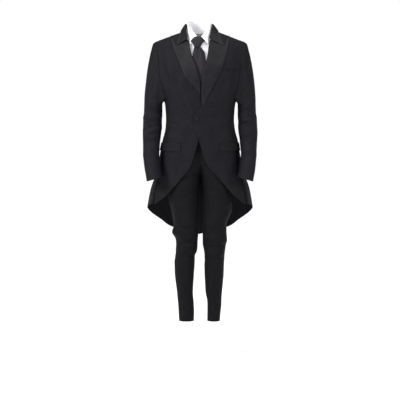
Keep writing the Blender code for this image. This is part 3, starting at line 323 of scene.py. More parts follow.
def coat_rows(skirt, waist, shoulders):
    """Rows from -1 at the hem to 0 at the waist, 1 at the armpit and 2 at the shoulder seam."""
    return spaced(-1, 0, skirt)[:-1] + spaced(0, 1, waist)[:-1] + spaced(1, 2, shoulders)


def shoulder_share(row):
    return math.sin(min(row - 1, 1.0) * math.pi / 2) if row > 1 else 0.0


def seam_row(row, angle):
    if row <= 0:
        return mix(COAT_WAIST_Z, read(HEM, "z", angle), -row) - ARMPIT_Z
    return mix(COAT_WAIST_Z, ARMPIT_Z, min(row, 1.0)) - ARMPIT_Z


def armhole_place(share_up):
    z = mix(ARMPIT_Z, ARMHOLE[-1].z, share_up)
    x = read(ARMHOLE, "x", z)
    return angle_at(x, z), height_at(x, z) if share_up < 1 else 1.0


def armhole_bend(share):
    """How far the armhole still leans towards the front seam, low down."""
    return (FRONT_SEAM - armhole_place(0)[0]) * (1 - min(1.0, 6 * share)) ** 2


def front_place(side, column, row):
    """The angle and height on a front, from its free edge (0) to its seam and armhole (1)."""
    if row <= 0:
        top = mix(angle_at(read(FRONT_EDGE, side, COAT_WAIST_Z), COAT_WAIST_Z), FRONT_SEAM, column)
        z = mix(FRONTS_PART_Z, CUT_AWAY[0].z, power(column, CUT_AWAY_SPREAD))
        centre = CUT_AWAY_CENTRE_X * (1 - ease(*CUT_AWAY_CENTRED_Z, z)) * dict(SIDES)[side]
        low = angle_at(read(CUT_AWAY, "half_opening", z) + centre, z)
        return mix(top, low, -row), mix(COAT_WAIST_Z - ARMPIT_Z, z - ARMPIT_Z, -row)
    if row <= 1:
        z = mix(COAT_WAIST_Z, ARMPIT_Z, row)
        return mix(angle_at(read(FRONT_EDGE, side, z), z), FRONT_SEAM, column), z - ARMPIT_Z
    share = shoulder_share(row)
    z = mix(ARMPIT_Z, FRONT_EDGE[-1].z, share)
    x = read(FRONT_EDGE, side, z)
    outer_angle, outer_height = armhole_place(share)
    angle = mix(angle_at(x, z), outer_angle + armhole_bend(share), column)
    return angle, mix(height_at(x, z) if share < 1 else 1.0, outer_height, column)


def overlap(x, z):
    """How far the left front stands out where it laps over the right one."""
    return OVERLAP_LIFT * (1 - ease(*OVERLAP_X, x)) * (1 - ease(*OVERLAP_Z, z))


def sided(point, side):
    """The point itself on the left side, and its mirror image on the right."""
    return Vector((point.x if side == "left" else -point.x, point.y, point.z))


def coat_front(side):
    def place(column, row):
        point = body_point(*front_place(side, column, row))
        if side == "left":
            point.y -= overlap(point.x, point.z)
        if row >= 2:
            point.y -= SEAM_GAP / 2
        return sided(point, side)

    return place


def coat_side(side):
    def place(column, row):
        angle = mix(FRONT_SEAM, BACK_SEAM, column)
        point = body_point(angle, seam_row(row, angle))
        return sided(point, side)

    return place


def yoke_place(column, share, start, armhole, neck, form=COAT, drop=0.0):
    """The angle and height above the armpit on a panel that ends in a shoulder seam and a neckline.

    neck is half its width, the height of its lowest place, and its share of the panel's top.
    """
    half_width, centre_z, top_share = neck
    turn = 1 - top_share
    if column <= turn:
        x = mix(ARMHOLE[-1].x, half_width, column / turn)
        top_angle, top_height = angle_at(x, shoulder_z(x) - drop, form), 1.0
    else:
        x = half_width * (1 - column) / top_share
        z = mix(shoulder_z(half_width) - drop, centre_z, rounding(x / half_width, 2.4))
        top_angle, top_height = angle_at(x, z, form), height_at(x, z, drop)
    edge_angle, edge_height = armhole(share)
    corner = mix(start, angle_at(ARMHOLE[-1].x, ARMHOLE[-1].z, form), share)
    angle = mix(start * (1 - column), top_angle, share) + (edge_angle - corner) * (1 - column)
    return angle, top_height * share + (edge_height - share) * (1 - column)


def coat_back(side):
    start = math.pi - BACK_SEAM

    def armhole(share):
        angle, height = armhole_place(share)
        return angle + (start - armhole_place(0)[0]) * (1 - min(1.0, 6 * share)) ** 2, height

    def place(column, row):
        if row <= 1:
            angle = mix(BACK_SEAM, math.pi, column)
            height = seam_row(row, angle)
        else:
            neck = COAT_NECK_HALF_WIDTH, COAT_NECK_BACK_Z, COAT_NECK_SHARE
            angle, height = yoke_place(column, shoulder_share(row), start, armhole, neck)
            angle = math.pi - angle
        point = body_point(angle, height)
        point.x += SEAM_GAP / 2
        if row >= 2 and height >= 1:
            point.y += SEAM_GAP / 2
        return sided(point, side)

    return place


def folds(rows, x, z):
    """How far some folds stand out: each is a soft ridge with a shallower trough on one side."""
    out = 0.0
    for row in rows:
        run_x = row.to_x - row.x
        run_z = row.to_z - row.z
        length = math.hypot(run_x, run_z)
        along = ((x - row.x) * run_x + (z - row.z) * run_z) / length**2
        if -0.2 < along < 1.2:
            across = ((x - row.x) * run_z - (z - row.z) * run_x) / length
            across = (across + row.bow * 4 * along * (1 - along)) / row.width
            shape = bump(0, 1, across) - 0.5 * bump(1.15, 0.9, across)
            out += row.depth * shape * bump(0.5, 0.7, along)
    return out


def uneven(point, waves):
    return sum(noise.noise(point * in_a_metre) * depth for in_a_metre, depth in waves)


def coat_relief(point, *place_on_panel):
    """Wear folds, and the slight unevenness of soft cloth over its whole surface."""
    soft = uneven(point, COAT_WAVES)
    if point.y < 0.02:
        soft += folds(FRONT_FOLDS, point.x, point.z) * ease(0.02, -0.02, point.y)
    else:
        soft += folds(BACK_FOLDS, point.x, point.z) * ease(0.02, 0.05, point.y)
    return soft


def seamed_relief(point, column, row):
    """The relief of a coat panel, which dips a little towards the seams at both its sides."""
    near = bump(0.0, SEAM_REACH, column) + bump(1.0, SEAM_REACH, column)
    return coat_relief(point) - SEAM_DIP * near


def turn_under(mesh, vertices, drop, width):
    """Turns one side's seam allowance in, and under the piece that it is sewn to."""
    way_in = mesh.verts.layers.float_vector["way_out"]
    way_on = mesh.verts.layers.float_vector["way_on"]
    edges = [edge for edge in mesh.edges if edge.is_boundary and vertices.issuperset(edge.verts)]
    for move, layer, facing in ((-drop, way_in, way_on), (width, way_on, way_in)):
        new = bmesh.ops.extrude_edge_only(mesh, edges=edges)["geom"]
        fresh = {item for item in new if isinstance(item, bmesh.types.BMVert)}
        for vertex in fresh:
            vertex.co += vertex[layer] * move
        mesh.normal_update()
        strip = [item for item in new if isinstance(item, bmesh.types.BMFace)]
        wrong = [face for face in strip if face.normal.dot(face.verts[0][facing]) < 0]
        bmesh.ops.reverse_faces(mesh, faces=wrong)
        edges = [item for item in new if isinstance(item, bmesh.types.BMEdge)]
        edges = [edge for edge in edges if fresh.issuperset(edge.verts)]


def run_of(vertices):
    """The length of the line through some vertices."""
    return sum((b.co - a.co).length for a, b in zip(vertices, vertices[1:]))


def finished(name, mesh, look, softened=False):
    """The object of a finished mesh. It stays at the origin."""
    for face in mesh.faces:
        face.smooth = True
    data = bpy.data.meshes.new(name)
    mesh.to_mesh(data)
    mesh.free()
    data.materials.append(look)
    made = bpy.data.objects.new(name, data)
    bpy.context.scene.collection.objects.link(made)
    if softened:
        finer = made.modifiers.new("softened", "SUBSURF")
        finer.levels = finer.render_levels = 1
    return made


def cloth_piece(name, place, columns, rows, thickness, out, look, relief=None, turned=""):
    """One piece of cloth: a grid laid in its worn form, creased, and given its thickness.

    turned names the sides whose seam allowance goes under the next piece: low and high columns.
    """
    mesh = bmesh.new()
    uv = mesh.loops.layers.uv.new("cloth")
    way_out = mesh.verts.layers.float_vector.new("way_out")
    way_on = mesh.verts.layers.float_vector.new("way_on")
    across = len(columns) - 1
    along = len(rows) - 1
    bmesh.ops.create_grid(mesh, x_segments=across, y_segments=along, size=0.5, calc_uvs=True)
    cells = {}
    for vertex in mesh.verts:
        cell = round((vertex.co.x + 0.5) * across), round((vertex.co.y + 0.5) * along)
        cells[cell] = vertex
        vertex.co = place(columns[cell[0]], rows[cell[1]])
    if out < 0:
        bmesh.ops.reverse_faces(mesh, faces=mesh.faces[:])
    mesh.normal_update()
    if relief:
        moves = [(v, v.normal * relief(v.co, columns[i], rows[j])) for (i, j), v in cells.items()]
        for vertex, move in moves:
            vertex.co += move
        mesh.normal_update()
    widths = [run_of([cells[i, j] for i in range(across + 1)]) for j in range(along + 1)]
    lengths = [run_of([cells[i, j] for j in range(along + 1)]) for i in range(across + 1)]
    widest = max(widths)
    for face in mesh.faces:
        for loop in face.loops:
            u, v = loop[uv].uv
            loop[uv].uv = u * widths[along // 2], v * lengths[across // 2]
    for vertex in mesh.verts:
        vertex[way_out] = vertex.normal
    for end, beside, word in ((0, 1, "low"), (across, across - 1, "high")):
        if word in turned:
            for j in range(along + 1):
                edge_vertex = cells[end, j]
                edge_vertex[way_on] = (edge_vertex.co - cells[beside, j].co).normalized()
            side_edge = {cells[end, j] for j in range(along + 1)}
            turn_under(mesh, side_edge, thickness + ALLOWANCE_DROP, ALLOWANCE_WIDTH)
            widest += thickness + ALLOWANCE_DROP + ALLOWANCE_WIDTH
    area = sum(face.calc_area() for face in mesh.faces)
    mesh.normal_update()
    for vertex in mesh.verts:
        vertex[way_out] = vertex.normal
    copied = bmesh.ops.extrude_face_region(mesh, geom=mesh.faces[:], use_keep_orig=True)["geom"]
    for item in copied:
        if isinstance(item, bmesh.types.BMVert):
            item.co -= item[way_out] * thickness
    for layer in list(mesh.verts.layers.float_vector.values()):
        mesh.verts.layers.float_vector.remove(layer)
    bmesh.ops.recalc_face_normals(mesh, faces=mesh.faces[:])
    crease = mesh.edges.layers.float.new("crease_edge")
    for edge in mesh.edges:
        if edge.calc_face_angle(0) > 1.0:
            edge[crease] = 1.0
            edge.smooth = False
    made = finished(name, mesh, look, softened=True)
    made["cut"] = (round(widest, 3) + 0.001, round(max(lengths), 3) + 0.001, round(area, 4))
    return made


def dress(made, nodes):
    """The piece rides with the suit and stands for its solids, and its cut property is removed."""
    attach(made, "root")
    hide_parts(*nodes)
    del made["cut"]


def give(tree, node, sockets):
    """Gives each of a node's sockets its value, or links it to another node's output."""
    for name, value in sockets.items():
        if isinstance(value, bpy.types.NodeSocket):
            tree.links.new(value, node.inputs[name])
        else:
            node.inputs[name].default_value = value
    return node


def put(tree, kind, sockets=None, **settings):
    """Adds a shader node with its settings and sockets."""
    made = tree.nodes.new(kind)
    for name, value in settings.items():
        setattr(made, name, value)
    return give(tree, made, sockets or {})


def worked_out(tree, operation, *values):
    """The output of a maths node."""
    return put(tree, "ShaderNodeMath", dict(enumerate(values)), operation=operation).outputs[0]


def shader_group(name, inputs, outputs):
    group = bpy.data.node_groups.new(name, "ShaderNodeTree")
    for way, sockets in (("INPUT", inputs), ("OUTPUT", outputs)):
        for socket, kind in sockets:
            group.interface.new_socket(socket, in_out=way, socket_type="NodeSocket" + kind)
    return group, group.nodes.new("NodeGroupInput").outputs, group.nodes.new("NodeGroupOutput")


# The weave: warp and weft threads that pass over and under each other in a slanting twill, and the
# cloudiness of cloth in wear. Its colour is mixed towards a lighter second colour in the clouds and
# on the twill's ribs, where the lighter colour is a painted highlight on the threads.
CLOUDS_IN_A_METRE = 26.0
FIBRES_IN_A_METRE = 1400.0
MIX_COLOURS = (6, 7)
MIX_RESULT = 2
WEAVE, given, woven = shader_group(
    "weave",
    (("Cloth Place", "Vector"), ("Colour", "Color"), ("Highlight And Mottle Colour", "Color"), ("Pitch", "Float"),
     ("Slant", "Float"), ("Unevenness", "Float"), ("Roughness", "Float")),
    (("Colour", "Color"), ("Roughness", "Float"), ("Height", "Float")),
)
laid = given["Cloth Place"]
per_metre = worked_out(WEAVE, "DIVIDE", 1.0, given["Pitch"])
threads = put(WEAVE, "ShaderNodeVectorMath", {0: laid, "Scale": per_metre}, operation="SCALE")
thread = put(WEAVE, "ShaderNodeSeparateXYZ", {0: threads.outputs[0]}).outputs
slanted = worked_out(WEAVE, "MULTIPLY_ADD", thread["X"], given["Slant"], thread["Y"])
twill = worked_out(WEAVE, "SINE", worked_out(WEAVE, "MULTIPLY", slanted, math.pi / 2))
warp = worked_out(WEAVE, "SINE", worked_out(WEAVE, "MULTIPLY", thread["X"], math.pi))
ribs = worked_out(WEAVE, "MULTIPLY_ADD", twill, 0.6, worked_out(WEAVE, "ABSOLUTE", warp))
clouds = put(WEAVE, "ShaderNodeTexNoise", {"Vector": laid, "Scale": CLOUDS_IN_A_METRE, "Detail": 3})
fibres = put(WEAVE, "ShaderNodeTexNoise", {"Vector": laid, "Scale": FIBRES_IN_A_METRE, "Detail": 2})
# The ribs lighten the colour as a painted highlight on the threads, and the clouds as a random
# mottle of tone.
rib_highlight_and_mottle = worked_out(WEAVE, "MULTIPLY_ADD", ribs, 0.16, clouds.outputs[0])
rib_highlight_and_mottle = put(WEAVE, "ShaderNodeMapRange", {"Value": rib_highlight_and_mottle, "From Min": 0.3, "From Max": 0.85})
rib_highlight_and_mottle = worked_out(WEAVE, "MULTIPLY", rib_highlight_and_mottle.outputs[0], given["Unevenness"])
# The mix goes towards the lighter second colour: painted highlight on the ribs, and mottle in the
# clouds.
coloured = put(WEAVE, "ShaderNodeMix", {0: rib_highlight_and_mottle, MIX_COLOURS[0]: given["Colour"],
                                        MIX_COLOURS[1]: given["Highlight And Mottle Colour"]}, data_type="RGBA")
give(WEAVE, woven, {
    "Colour": coloured.outputs[MIX_RESULT],
    "Roughness": worked_out(WEAVE, "MULTIPLY_ADD", clouds.outputs[0], 0.14, given["Roughness"]),
    "Height": worked_out(WEAVE, "MULTIPLY_ADD", fibres.outputs[0], 0.5, ribs),
})


def new_look(name, sockets):
    """A new material whose shader's sockets have these values, and its nodes."""
    look = bpy.data.materials.new(name)
    look.use_nodes = True
    give(look.node_tree, look.node_tree.nodes["Principled BSDF"], sockets)
    return look, look.node_tree


def cloth_look(name, colour, highlight_and_mottle, pitch, slant, unevenness, roughness, relief, **shine):
    """A material of woven cloth, whose pattern follows the cut through the piece's own UV map."""
    look, tree = new_look(name, {key.replace("_", " "): value for key, value in shine.items()})
    # The second colour is the lighter tone of the clouds' mottle and of the painted highlight on the
    # twill's ribs.
    weave = put(tree, "ShaderNodeGroup", {
        "Cloth Place": put(tree, "ShaderNodeUVMap", uv_map="cloth").outputs[0],
        "Colour": (*colour, 1), "Highlight And Mottle Colour": (*highlight_and_mottle, 1), "Pitch": pitch, "Slant": slant,
        "Unevenness": unevenness, "Roughness": roughness,
    }, node_tree=WEAVE).outputs
    raised = put(tree, "ShaderNodeBump",
                 {"Height": weave["Height"], "Strength": relief, "Distance": pitch * 0.4})
    give(tree, tree.nodes["Principled BSDF"], {
        "Base Color": weave["Colour"], "Roughness": weave["Roughness"], "Normal": raised.outputs[0],
        "Sheen Roughness": 0.45,
    })
    return look


# Each cloth's second colour is lighter: its mottle, and a painted highlight on its twill's ribs.
BLACK_WORSTED = cloth_look("black_worsted", (0.0050, 0.0047, 0.0064), (0.0100, 0.0094, 0.0120),
                           pitch=0.0007, slant=1.0, unevenness=0.8, roughness=0.58, relief=0.35,
                           Sheen_Weight=0.005, Specular_IOR_Level=0.085)

# What each panel is laid by. Its columns and rows stop just short of the seams beside it.
SEAM_SHARE = 0.0008
SIDE_ROWS = coat_rows(34, 16, 1)[:-2] + [0.998]
PANELS = {
    "front": (coat_front, spaced(0, 1 - SEAM_SHARE, 26), coat_rows(40, 16, 30), ""),
    "side": (coat_side, spaced(SEAM_SHARE, 1 - SEAM_SHARE, 12), SIDE_ROWS, "low high"),
    "back": (coat_back, spaced(SEAM_SHARE, 1, 24), coat_rows(46, 16, 30), "high"),
}
for side, mirror in SIDES:
    for panel, (form, columns, rows, turned) in PANELS.items():
        if (panel, side) == ("back", "right"):
            turned = ""
        made = cloth_piece(f"{side}_coat_{panel}", form(side), columns, rows, COAT_CLOTH, mirror,
                           BLACK_WORSTED, seamed_relief, turned)
        dress(made, [f"coat_{panel}_{side}"])

# THE SLEEVES: each is cut in two pieces, a wide top half and a narrow under half, that are joined
# by two seams down the arm. The head is eased into the armhole over a soft roll. The cuff is plain.
SLEEVE_AROUND = 18
ARMHOLE_FRONT_COLUMN = 7
ARMHOLE_BACK_COLUMN = 11
SLEEVE_FRONT_SEAM = 6
SLEEVE_BACK_SEAM = 12
SLEEVE_TOP_Z = -0.335
CUFF_Z = -0.680
CUFF_RISE = 0.021
ARMHOLE_GAP = 0.0004
TURNING_DROP = 0.0032
TURNING_WIDTH = 0.007
SLEEVE_SEAM_GAP = 0.01
SLEEVE_POWER = 0.92
SLEEVE_WAVES = ((10.0, 0.0018), (30.0, 0.0006))
SLEEVE = table(
    "z centre_x half_width centre_y half_depth",
    (-0.668, 0.2095, 0.0370, -0.087, 0.047),
    (-0.630, 0.2160, 0.0370, -0.072, 0.049),
    (-0.590, 0.2215, 0.0370, -0.055, 0.051),
    (-0.550, 0.2255, 0.0370, -0.038, 0.053),
    (-0.510, 0.2250, 0.0390, -0.022, 0.054),
    (-0.470, 0.2240, 0.0425, -0.008, 0.056),
    (-0.430, 0.2218, 0.0447, 0.001, 0.057),
    (-0.395, 0.2212, 0.0443, 0.003, 0.058),
    (-0.365, 0.2184, 0.0431, 0.003, 0.058),
    (-0.335, 0.2170, 0.0425, 0.001, 0.060),
)
# Creases round the arm: first its broad folds, and then the sharper wrinkles at the bend of the
# elbow. Angles are in degrees and run from the outer side, forwards.
CREASE_COLUMNS = "z angle half_angle half_height tilt depth"
SLEEVE_CREASES = {
    "left": table(CREASE_COLUMNS,
        (-0.362, 105, 95, 0.018, 0.012, -0.0045),
        (-0.392, 60, 80, 0.016, -0.014, 0.0040),
        (-0.415, 120, 90, 0.016, 0.012, -0.0050),
        (-0.447, 75, 85, 0.017, 0.014, 0.0040),
        (-0.478, 115, 85, 0.016, -0.012, -0.0045),
        (-0.560, 130, 80, 0.018, 0.014, -0.0035)),
    "right": table(CREASE_COLUMNS,
        (-0.355, 95, 90, 0.017, -0.012, -0.0040),
        (-0.382, 120, 90, 0.016, 0.010, 0.0040),
        (-0.408, 75, 90, 0.017, -0.014, -0.0050),
        (-0.440, 110, 95, 0.017, 0.012, 0.0045),
        (-0.470, 85, 85, 0.016, 0.012, -0.0045),
        (-0.575, 100, 80, 0.018, -0.012, -0.0035)),
}
ELBOW_WRINKLES = {
    "left": table(CREASE_COLUMNS,
        (-0.372, 70, 50, 0.008, 0.010, 0.0046),
        (-0.381, 80, 45, 0.007, 0.012, -0.0060),
        (-0.402, 110, 50, 0.008, -0.010, 0.0051),
        (-0.428, 55, 45, 0.008, 0.012, 0.0046),
        (-0.462, 100, 50, 0.009, -0.010, 0.0042),
        (-0.330, 120, 50, 0.010, -0.012, -0.0051),
        (-0.566, 150, 40, 0.008, 0.010, 0.0042),
        (-0.400, -100, 70, 0.012, 0.010, 0.0060),
        (-0.430, -80, 70, 0.012, -0.012, -0.0060)),
    "right": table(CREASE_COLUMNS,
        (-0.366, 60, 50, 0.008, -0.012, 0.0051),
        (-0.378, 45, 45, 0.007, -0.010, -0.0060),
        (-0.395, 40, 45, 0.008, -0.012, 0.0060),
        (-0.416, 60, 50, 0.008, -0.014, 0.0060),
        (-0.429, 80, 50, 0.007, -0.010, -0.0056),
        (-0.452, 60, 45, 0.008, -0.012, 0.0051),
        (-0.482, 90, 45, 0.009, 0.010, 0.0046),
        (-0.505, 70, 45, 0.009, -0.010, -0.0037),
        (-0.395, -95, 70, 0.012, -0.010, 0.0060),
        (-0.436, -110, 70, 0.012, 0.012, -0.0060)),
}


def way_out(place, u, v, out):
    """The unit normal of a piece's form."""
    step = 1e-3
    across = place(u + step, v) - place(u - step, v)
    return across.cross(place(u, v + step) - place(u, v - step)).normalized() * out


def armhole_loop(column):
    """The armhole seam's place, for a column counted round the sleeve from the shoulder point."""
    column %= SLEEVE_AROUND
    if ARMHOLE_FRONT_COLUMN < column < ARMHOLE_BACK_COLUMN:
        across = (column - ARMHOLE_FRONT_COLUMN) / (ARMHOLE_BACK_COLUMN - ARMHOLE_FRONT_COLUMN)
        return mix(FRONT_SEAM, BACK_SEAM, across), 0.0
    front = column <= ARMHOLE_FRONT_COLUMN
    share = 1 - column / ARMHOLE_FRONT_COLUMN
    if not front:
        share = (column - ARMHOLE_BACK_COLUMN) / (SLEEVE_AROUND - ARMHOLE_BACK_COLUMN)
    share = math.sin(share * math.pi / 2)
    angle, height = armhole_place(share)
    angle += armhole_bend(share)
    return (angle if front else math.pi - angle), height


def crease(creases, side, z, angle):
    """How far a sleeve's or leg's creases stand out, at an angle in degrees round it."""
    out = 0.0
    for row in creases[side]:
        away = (angle - row.angle + 180) % 360 - 180
        level = z - row.z - row.tilt * away / row.half_angle
        out += row.depth * bump(0, row.half_angle, away) * bump(0, row.half_height, level)
    return out


def sleeve_ring(side, column, z):
    turn = 2 * math.pi * column / SLEEVE_AROUND
    out = crease(SLEEVE_CREASES, side, z, math.degrees(turn))
    across = read(SLEEVE, "half_width", z) + out
    deep = read(SLEEVE, "half_depth", z) + out
    x = read(SLEEVE, "centre_x", z) + across * power(math.cos(turn), SLEEVE_POWER)
    y = read(SLEEVE, "centre_y", z) - deep * power(math.sin(turn), SLEEVE_POWER)
    return Vector((x, y, z))


armhole_edges = {}


def armhole_edge(side, column):
    """A point of the armhole's edge, with the panels' folds, and the way out of the cloth there."""
    key = side, round(column, 5)
    if key not in armhole_edges:
        angle, height = armhole_loop(column)
        point = body_point(angle, height)
        away = way_out(body_point, angle, min(height, 0.985) if height > 0 else height, 1)
        dipped = coat_relief(sided(point, side)) - SEAM_DIP
        point += away * dipped + Vector((ARMHOLE_GAP, 0, 0))
        armhole_edges[key] = point, away
    point, away = armhole_edges[key]
    return point.copy(), away


def sleeve(side):
    """Rows run from 0 at the armhole to 1 below the arm and 2 at the cuff.

    The seam's turning lies below 0. The cloth leaves the armhole outwards and then falls straight.
    """

    def place(column, row):
        turn = 2 * math.pi * column / SLEEVE_AROUND
        up = (1 + math.cos(turn)) / 2
        if row <= 1:
            start, away = armhole_edge(side, column)
            if row < 0:
                inwards = Vector((TURNING_WIDTH * max(0.0, -row - 1), 0, 0))
                start += away * (-TURNING_DROP * min(1.0, -row)) - inwards
                return sided(start, side)
            end = sleeve_ring(side, column, SLEEVE_TOP_Z)
            length = (end - start).length
            leave = Vector((0.1 + 0.11 * up, -0.12 * math.sin(turn), -0.1 - 0.8 * (1 - up)))
            leave *= length
            arrive = Vector((0, 0, -0.85)) * length
            point = start * (1 + 2 * row) * (1 - row) ** 2 + leave * row * (1 - row) ** 2
            point += end * row * row * (3 - 2 * row) - arrive * row * row * (1 - row)
        else:
            z = mix(SLEEVE_TOP_Z, CUFF_Z + CUFF_RISE * (1 - up), row - 1)
            point = sleeve_ring(side, column, z)
        return sided(point, side)

    return place


def sleeve_relief(side, low, high):
    """Elbow wrinkles, the roll of the sleeve's head, and a slight dip along its seams."""

    def relief(point, column, row):
        turn = 2 * math.pi * column / SLEEVE_AROUND
        out = uneven(point, SLEEVE_WAVES)
        out += crease(ELBOW_WRINKLES, side, point.z, math.degrees(turn))
        out += 0.0022 * bump(0.12, 0.12, row) * (0.5 + 0.5 * math.cos(turn))
        out += 0.0016 * math.sin(column * 4.1) * bump(0.45, 0.4, row)
        out -= 0.0008 * (bump(low, 0.2, column) + bump(high, 0.2, column))
        return out * ease(0.0, 0.06, row)

    return relief


SLEEVE_ROWS = [-2, -1.5, -1, -0.5] + spaced(0, 1, 26) + [1 + i / 54 for i in range(1, 55)]
for side, mirror in SIDES:
    for half, low, high, cells in (("top", SLEEVE_BACK_SEAM - SLEEVE_AROUND, SLEEVE_FRONT_SEAM, 36),
                                   ("under", SLEEVE_FRONT_SEAM, SLEEVE_BACK_SEAM, 18)):
        columns = spaced(low + SLEEVE_SEAM_GAP, high - SLEEVE_SEAM_GAP, cells)
        made = cloth_piece(f"{side}_sleeve_{half}", sleeve(side), columns, SLEEVE_ROWS, COAT_CLOTH,
                           mirror, BLACK_WORSTED, sleeve_relief(side, low, high),
                           "low high" if half == "under" else "")
        dress(made, [f"sleeve_{half}_{side}"])

# THE LAPELS AND THE COLLAR: black satin faced on canvas. Each lapel turns back along the front's
# fold line up to a pointed peak, and the collar stands up round the neck, folds over and meets it.
SATIN = 0.0016
PEAK_TIP = Vector((0.1350, 0, -0.0035))
NOTCH = Vector((0.1100, 0, -0.0610))
GORGE_FOLD = {"left": Vector((0.0475, 0, -0.0300)), "right": Vector((0.0550, 0, -0.0300))}
LAPEL_FOOT_Z = {"left": -0.3285, "right": -0.280}
COLLAR_FOLD_RADIUS = 0.0030
COLLAR_SOFT_BACK = 0.08
NECK_LEAN = 0.0035
RIGHT_FOLD_IN = 0.0055
RIGHT_SEAM_IN = 0.0075
LAPEL_ROLL = 0.0022
PEAK_SHARE = 0.72
LAPEL_EDGE = table(
    "z left right",
    (-0.329, 0.0190, -0.0300),
    (-0.286, 0.0380, -0.0010),
    (-0.250, 0.0570, 0.0260),
    (-0.203, 0.0830, 0.0652),
    (-0.144, 0.1060, 0.0920),
    (-0.090, 0.1210, 0.1140),
    (-0.050, 0.1290, 0.1260),
    (-0.003, 0.1355, 0.1345),
)
COLLAR = table(
    "at seam_x seam_y seam_z fold_x fold_y fold_z edge_x edge_y edge_z",
    (0.00, 0.0000, 0.0740, 0.0090, 0.0000, 0.0745, 0.0480, 0.0000, 0.0850, 0.0020),
    (0.25, 0.0510, 0.0580, 0.0140, 0.0480, 0.0555, 0.0490, 0.0590, 0.0740, 0.0060),
    (0.50, 0.0730, 0.0060, 0.0200, 0.0640, 0.0080, 0.0460, 0.0830, 0.0130, 0.0175),
    (0.70, 0.0680, -0.0250, 0.0090, 0.0610, -0.0280, 0.0270, 0.0890, -0.0160, 0.0050),
    (0.85, 0.0580, -0.0450, -0.0080, 0.0550, -0.0510, 0.0000, 0.0985, -0.0420, -0.0270),
    (1.00, 0.0500, -0.0600, -0.0230, 0.0475, -0.0700, -0.0265, 0.1105, -0.0620, -0.0590),
)


def lapel(side):
    """Columns run from -1 inside the front's edge, round the fold at 0, to 1 at the outer edge."""
    foot = LAPEL_FOOT_Z[side]
    gorge = GORGE_FOLD[side]
    radius = COAT_CLOTH / 2 + LYING_GAP + SEAM_GAP + SATIN

    def flat(column, row):
        fold_z = mix(foot, gorge.z, row)
        edge_z = mix(foot, PEAK_TIP.z, row)
        fold = Vector((read(FRONT_EDGE, side, fold_z), 0, fold_z))
        edge = Vector((max(fold.x + 0.006, read(LAPEL_EDGE, side, edge_z)), 0, edge_z))
        top = gorge.lerp(NOTCH, column / PEAK_SHARE)
        if column >= PEAK_SHARE:
            top = NOTCH.lerp(PEAK_TIP, (column - PEAK_SHARE) / (1 - PEAK_SHARE))
        return fold.lerp(edge, column) + (top - gorge.lerp(PEAK_TIP, column)) * row**3

    def place(column, row):
        point = flat(max(column, 0.0), row)
        point = on_front(point.x, point.z, LYING_GAP + SEAM_GAP + SATIN)
        if side == "left":
            point.y -= overlap(point.x, point.z)
        point.y -= LAPEL_ROLL * bump(0.0, 0.5, column) * row
        if column < 0:
            turn = -column * math.radians(mix(40, 165, ease(0.15, 0.4, row)))
            point.y += radius * (1 - math.cos(turn))
            point.x -= radius * math.sin(turn)
        return sided(point, side)

    return place


def lapel_relief(point, column, row):
    """The lapel follows the front below it, with a soft roll and its own long shallow waves."""
    wave = 0.0009 * math.sin(11 * row + 3 * column) * bump(0.5, 0.5, column)
    return max(-0.0004, coat_relief(point) * 0.8 + wave * ease(0.1, 0.4, row))


def collar_station(rows, name, at):
    share = abs(at)
    level = share * share * (1 + COLLAR_SOFT_BACK) / (share + COLLAR_SOFT_BACK)
    x = math.copysign(read(rows, name + "_x", share), at)
    return Vector((x, read(rows, name + "_y", level), read(rows, name + "_z", level)))


def coat_collar(at, across):
    """Across runs from 0 at the neck seam, up the stand, over the fold at 0.5, to 1 at the edge."""
    seam, fold, edge = (collar_station(COLLAR, name, at) for name in ("seam", "fold", "edge"))
    fold.x -= NECK_LEAN + RIGHT_FOLD_IN * ease(-0.55, -1.0, at)
    edge.x -= NECK_LEAN * 0.6 * ease(1.0, 0.6, abs(at))
    seam.x -= RIGHT_SEAM_IN * ease(-0.55, -1.0, at)
    outwards = edge - seam
    outwards = Vector((outwards.x, outwards.y, 0)).normalized() * COLLAR_FOLD_RADIUS
    if across < 0.4:
        return seam.lerp(fold - outwards, across / 0.4)
    if across <= 0.6:
        turn = math.pi * (across - 0.4) / 0.2
        return fold - outwards * math.cos(turn) + Vector((0, 0, COLLAR_FOLD_RADIUS * math.sin(turn)))
    point = (fold + outwards).lerp(edge, (across - 0.6) / 0.4)
    clear = on_front(point.x, point.z, 1.5 * SEAM_GAP + COAT_CLOTH, back=at * at < 0.24)
    if abs(at) > 0.55:
        point.y = min(point.y, clear.y)
    elif abs(at) < 0.45:
        point.y = max(point.y, clear.y)
    return point


def collar_relief(point, at, across):
    return max(0.0, noise.noise(point * 14.0)) * 0.0010 * ease(0.6, 0.75, across)


BLACK_SATIN = cloth_look("black_satin", (0.0078, 0.0072, 0.0088), (0.0132, 0.0122, 0.0146),
                         pitch=0.0004, slant=0.0, unevenness=0.9, roughness=0.38, relief=0.10,
                         Specular_IOR_Level=0.11, Anisotropic=0.4)
made = cloth_piece("coat_collar_satin", coat_collar, spaced(-1, 1, 80),
                   spaced(0, 0.4, 8) + spaced(0.42, 0.6, 9) + spaced(0.63, 1, 12), 0.0020, 1,
                   BLACK_SATIN, collar_relief)
dress(made, ["coat_collar"])
for side, mirror in SIDES:
    made = cloth_piece(f"{side}_lapel_satin", lapel(side), spaced(-1, 0, 10) + spaced(0.05, 1, 19),
                       spaced(0, 1, 52), SATIN, mirror, BLACK_SATIN, lapel_relief)
    dress(made, ["lapel_" + side])

# THE POCKETS: a slanting welt on the left breast, and a flap over each hip pocket. All are of the
# coat's own cloth, sewn on along one edge.
FLAP_FRONT_X = 0.086
FLAP_BACK_ANGLE = math.radians(84)
FLAP_TOP_Z = -0.5050
FLAP_FOOT_Z = -0.5420
WELT_X = (0.119, 0.180)
WELT_FOOT_Z = (-0.1715, -0.1640)
WELT_HEIGHT = 0.0300


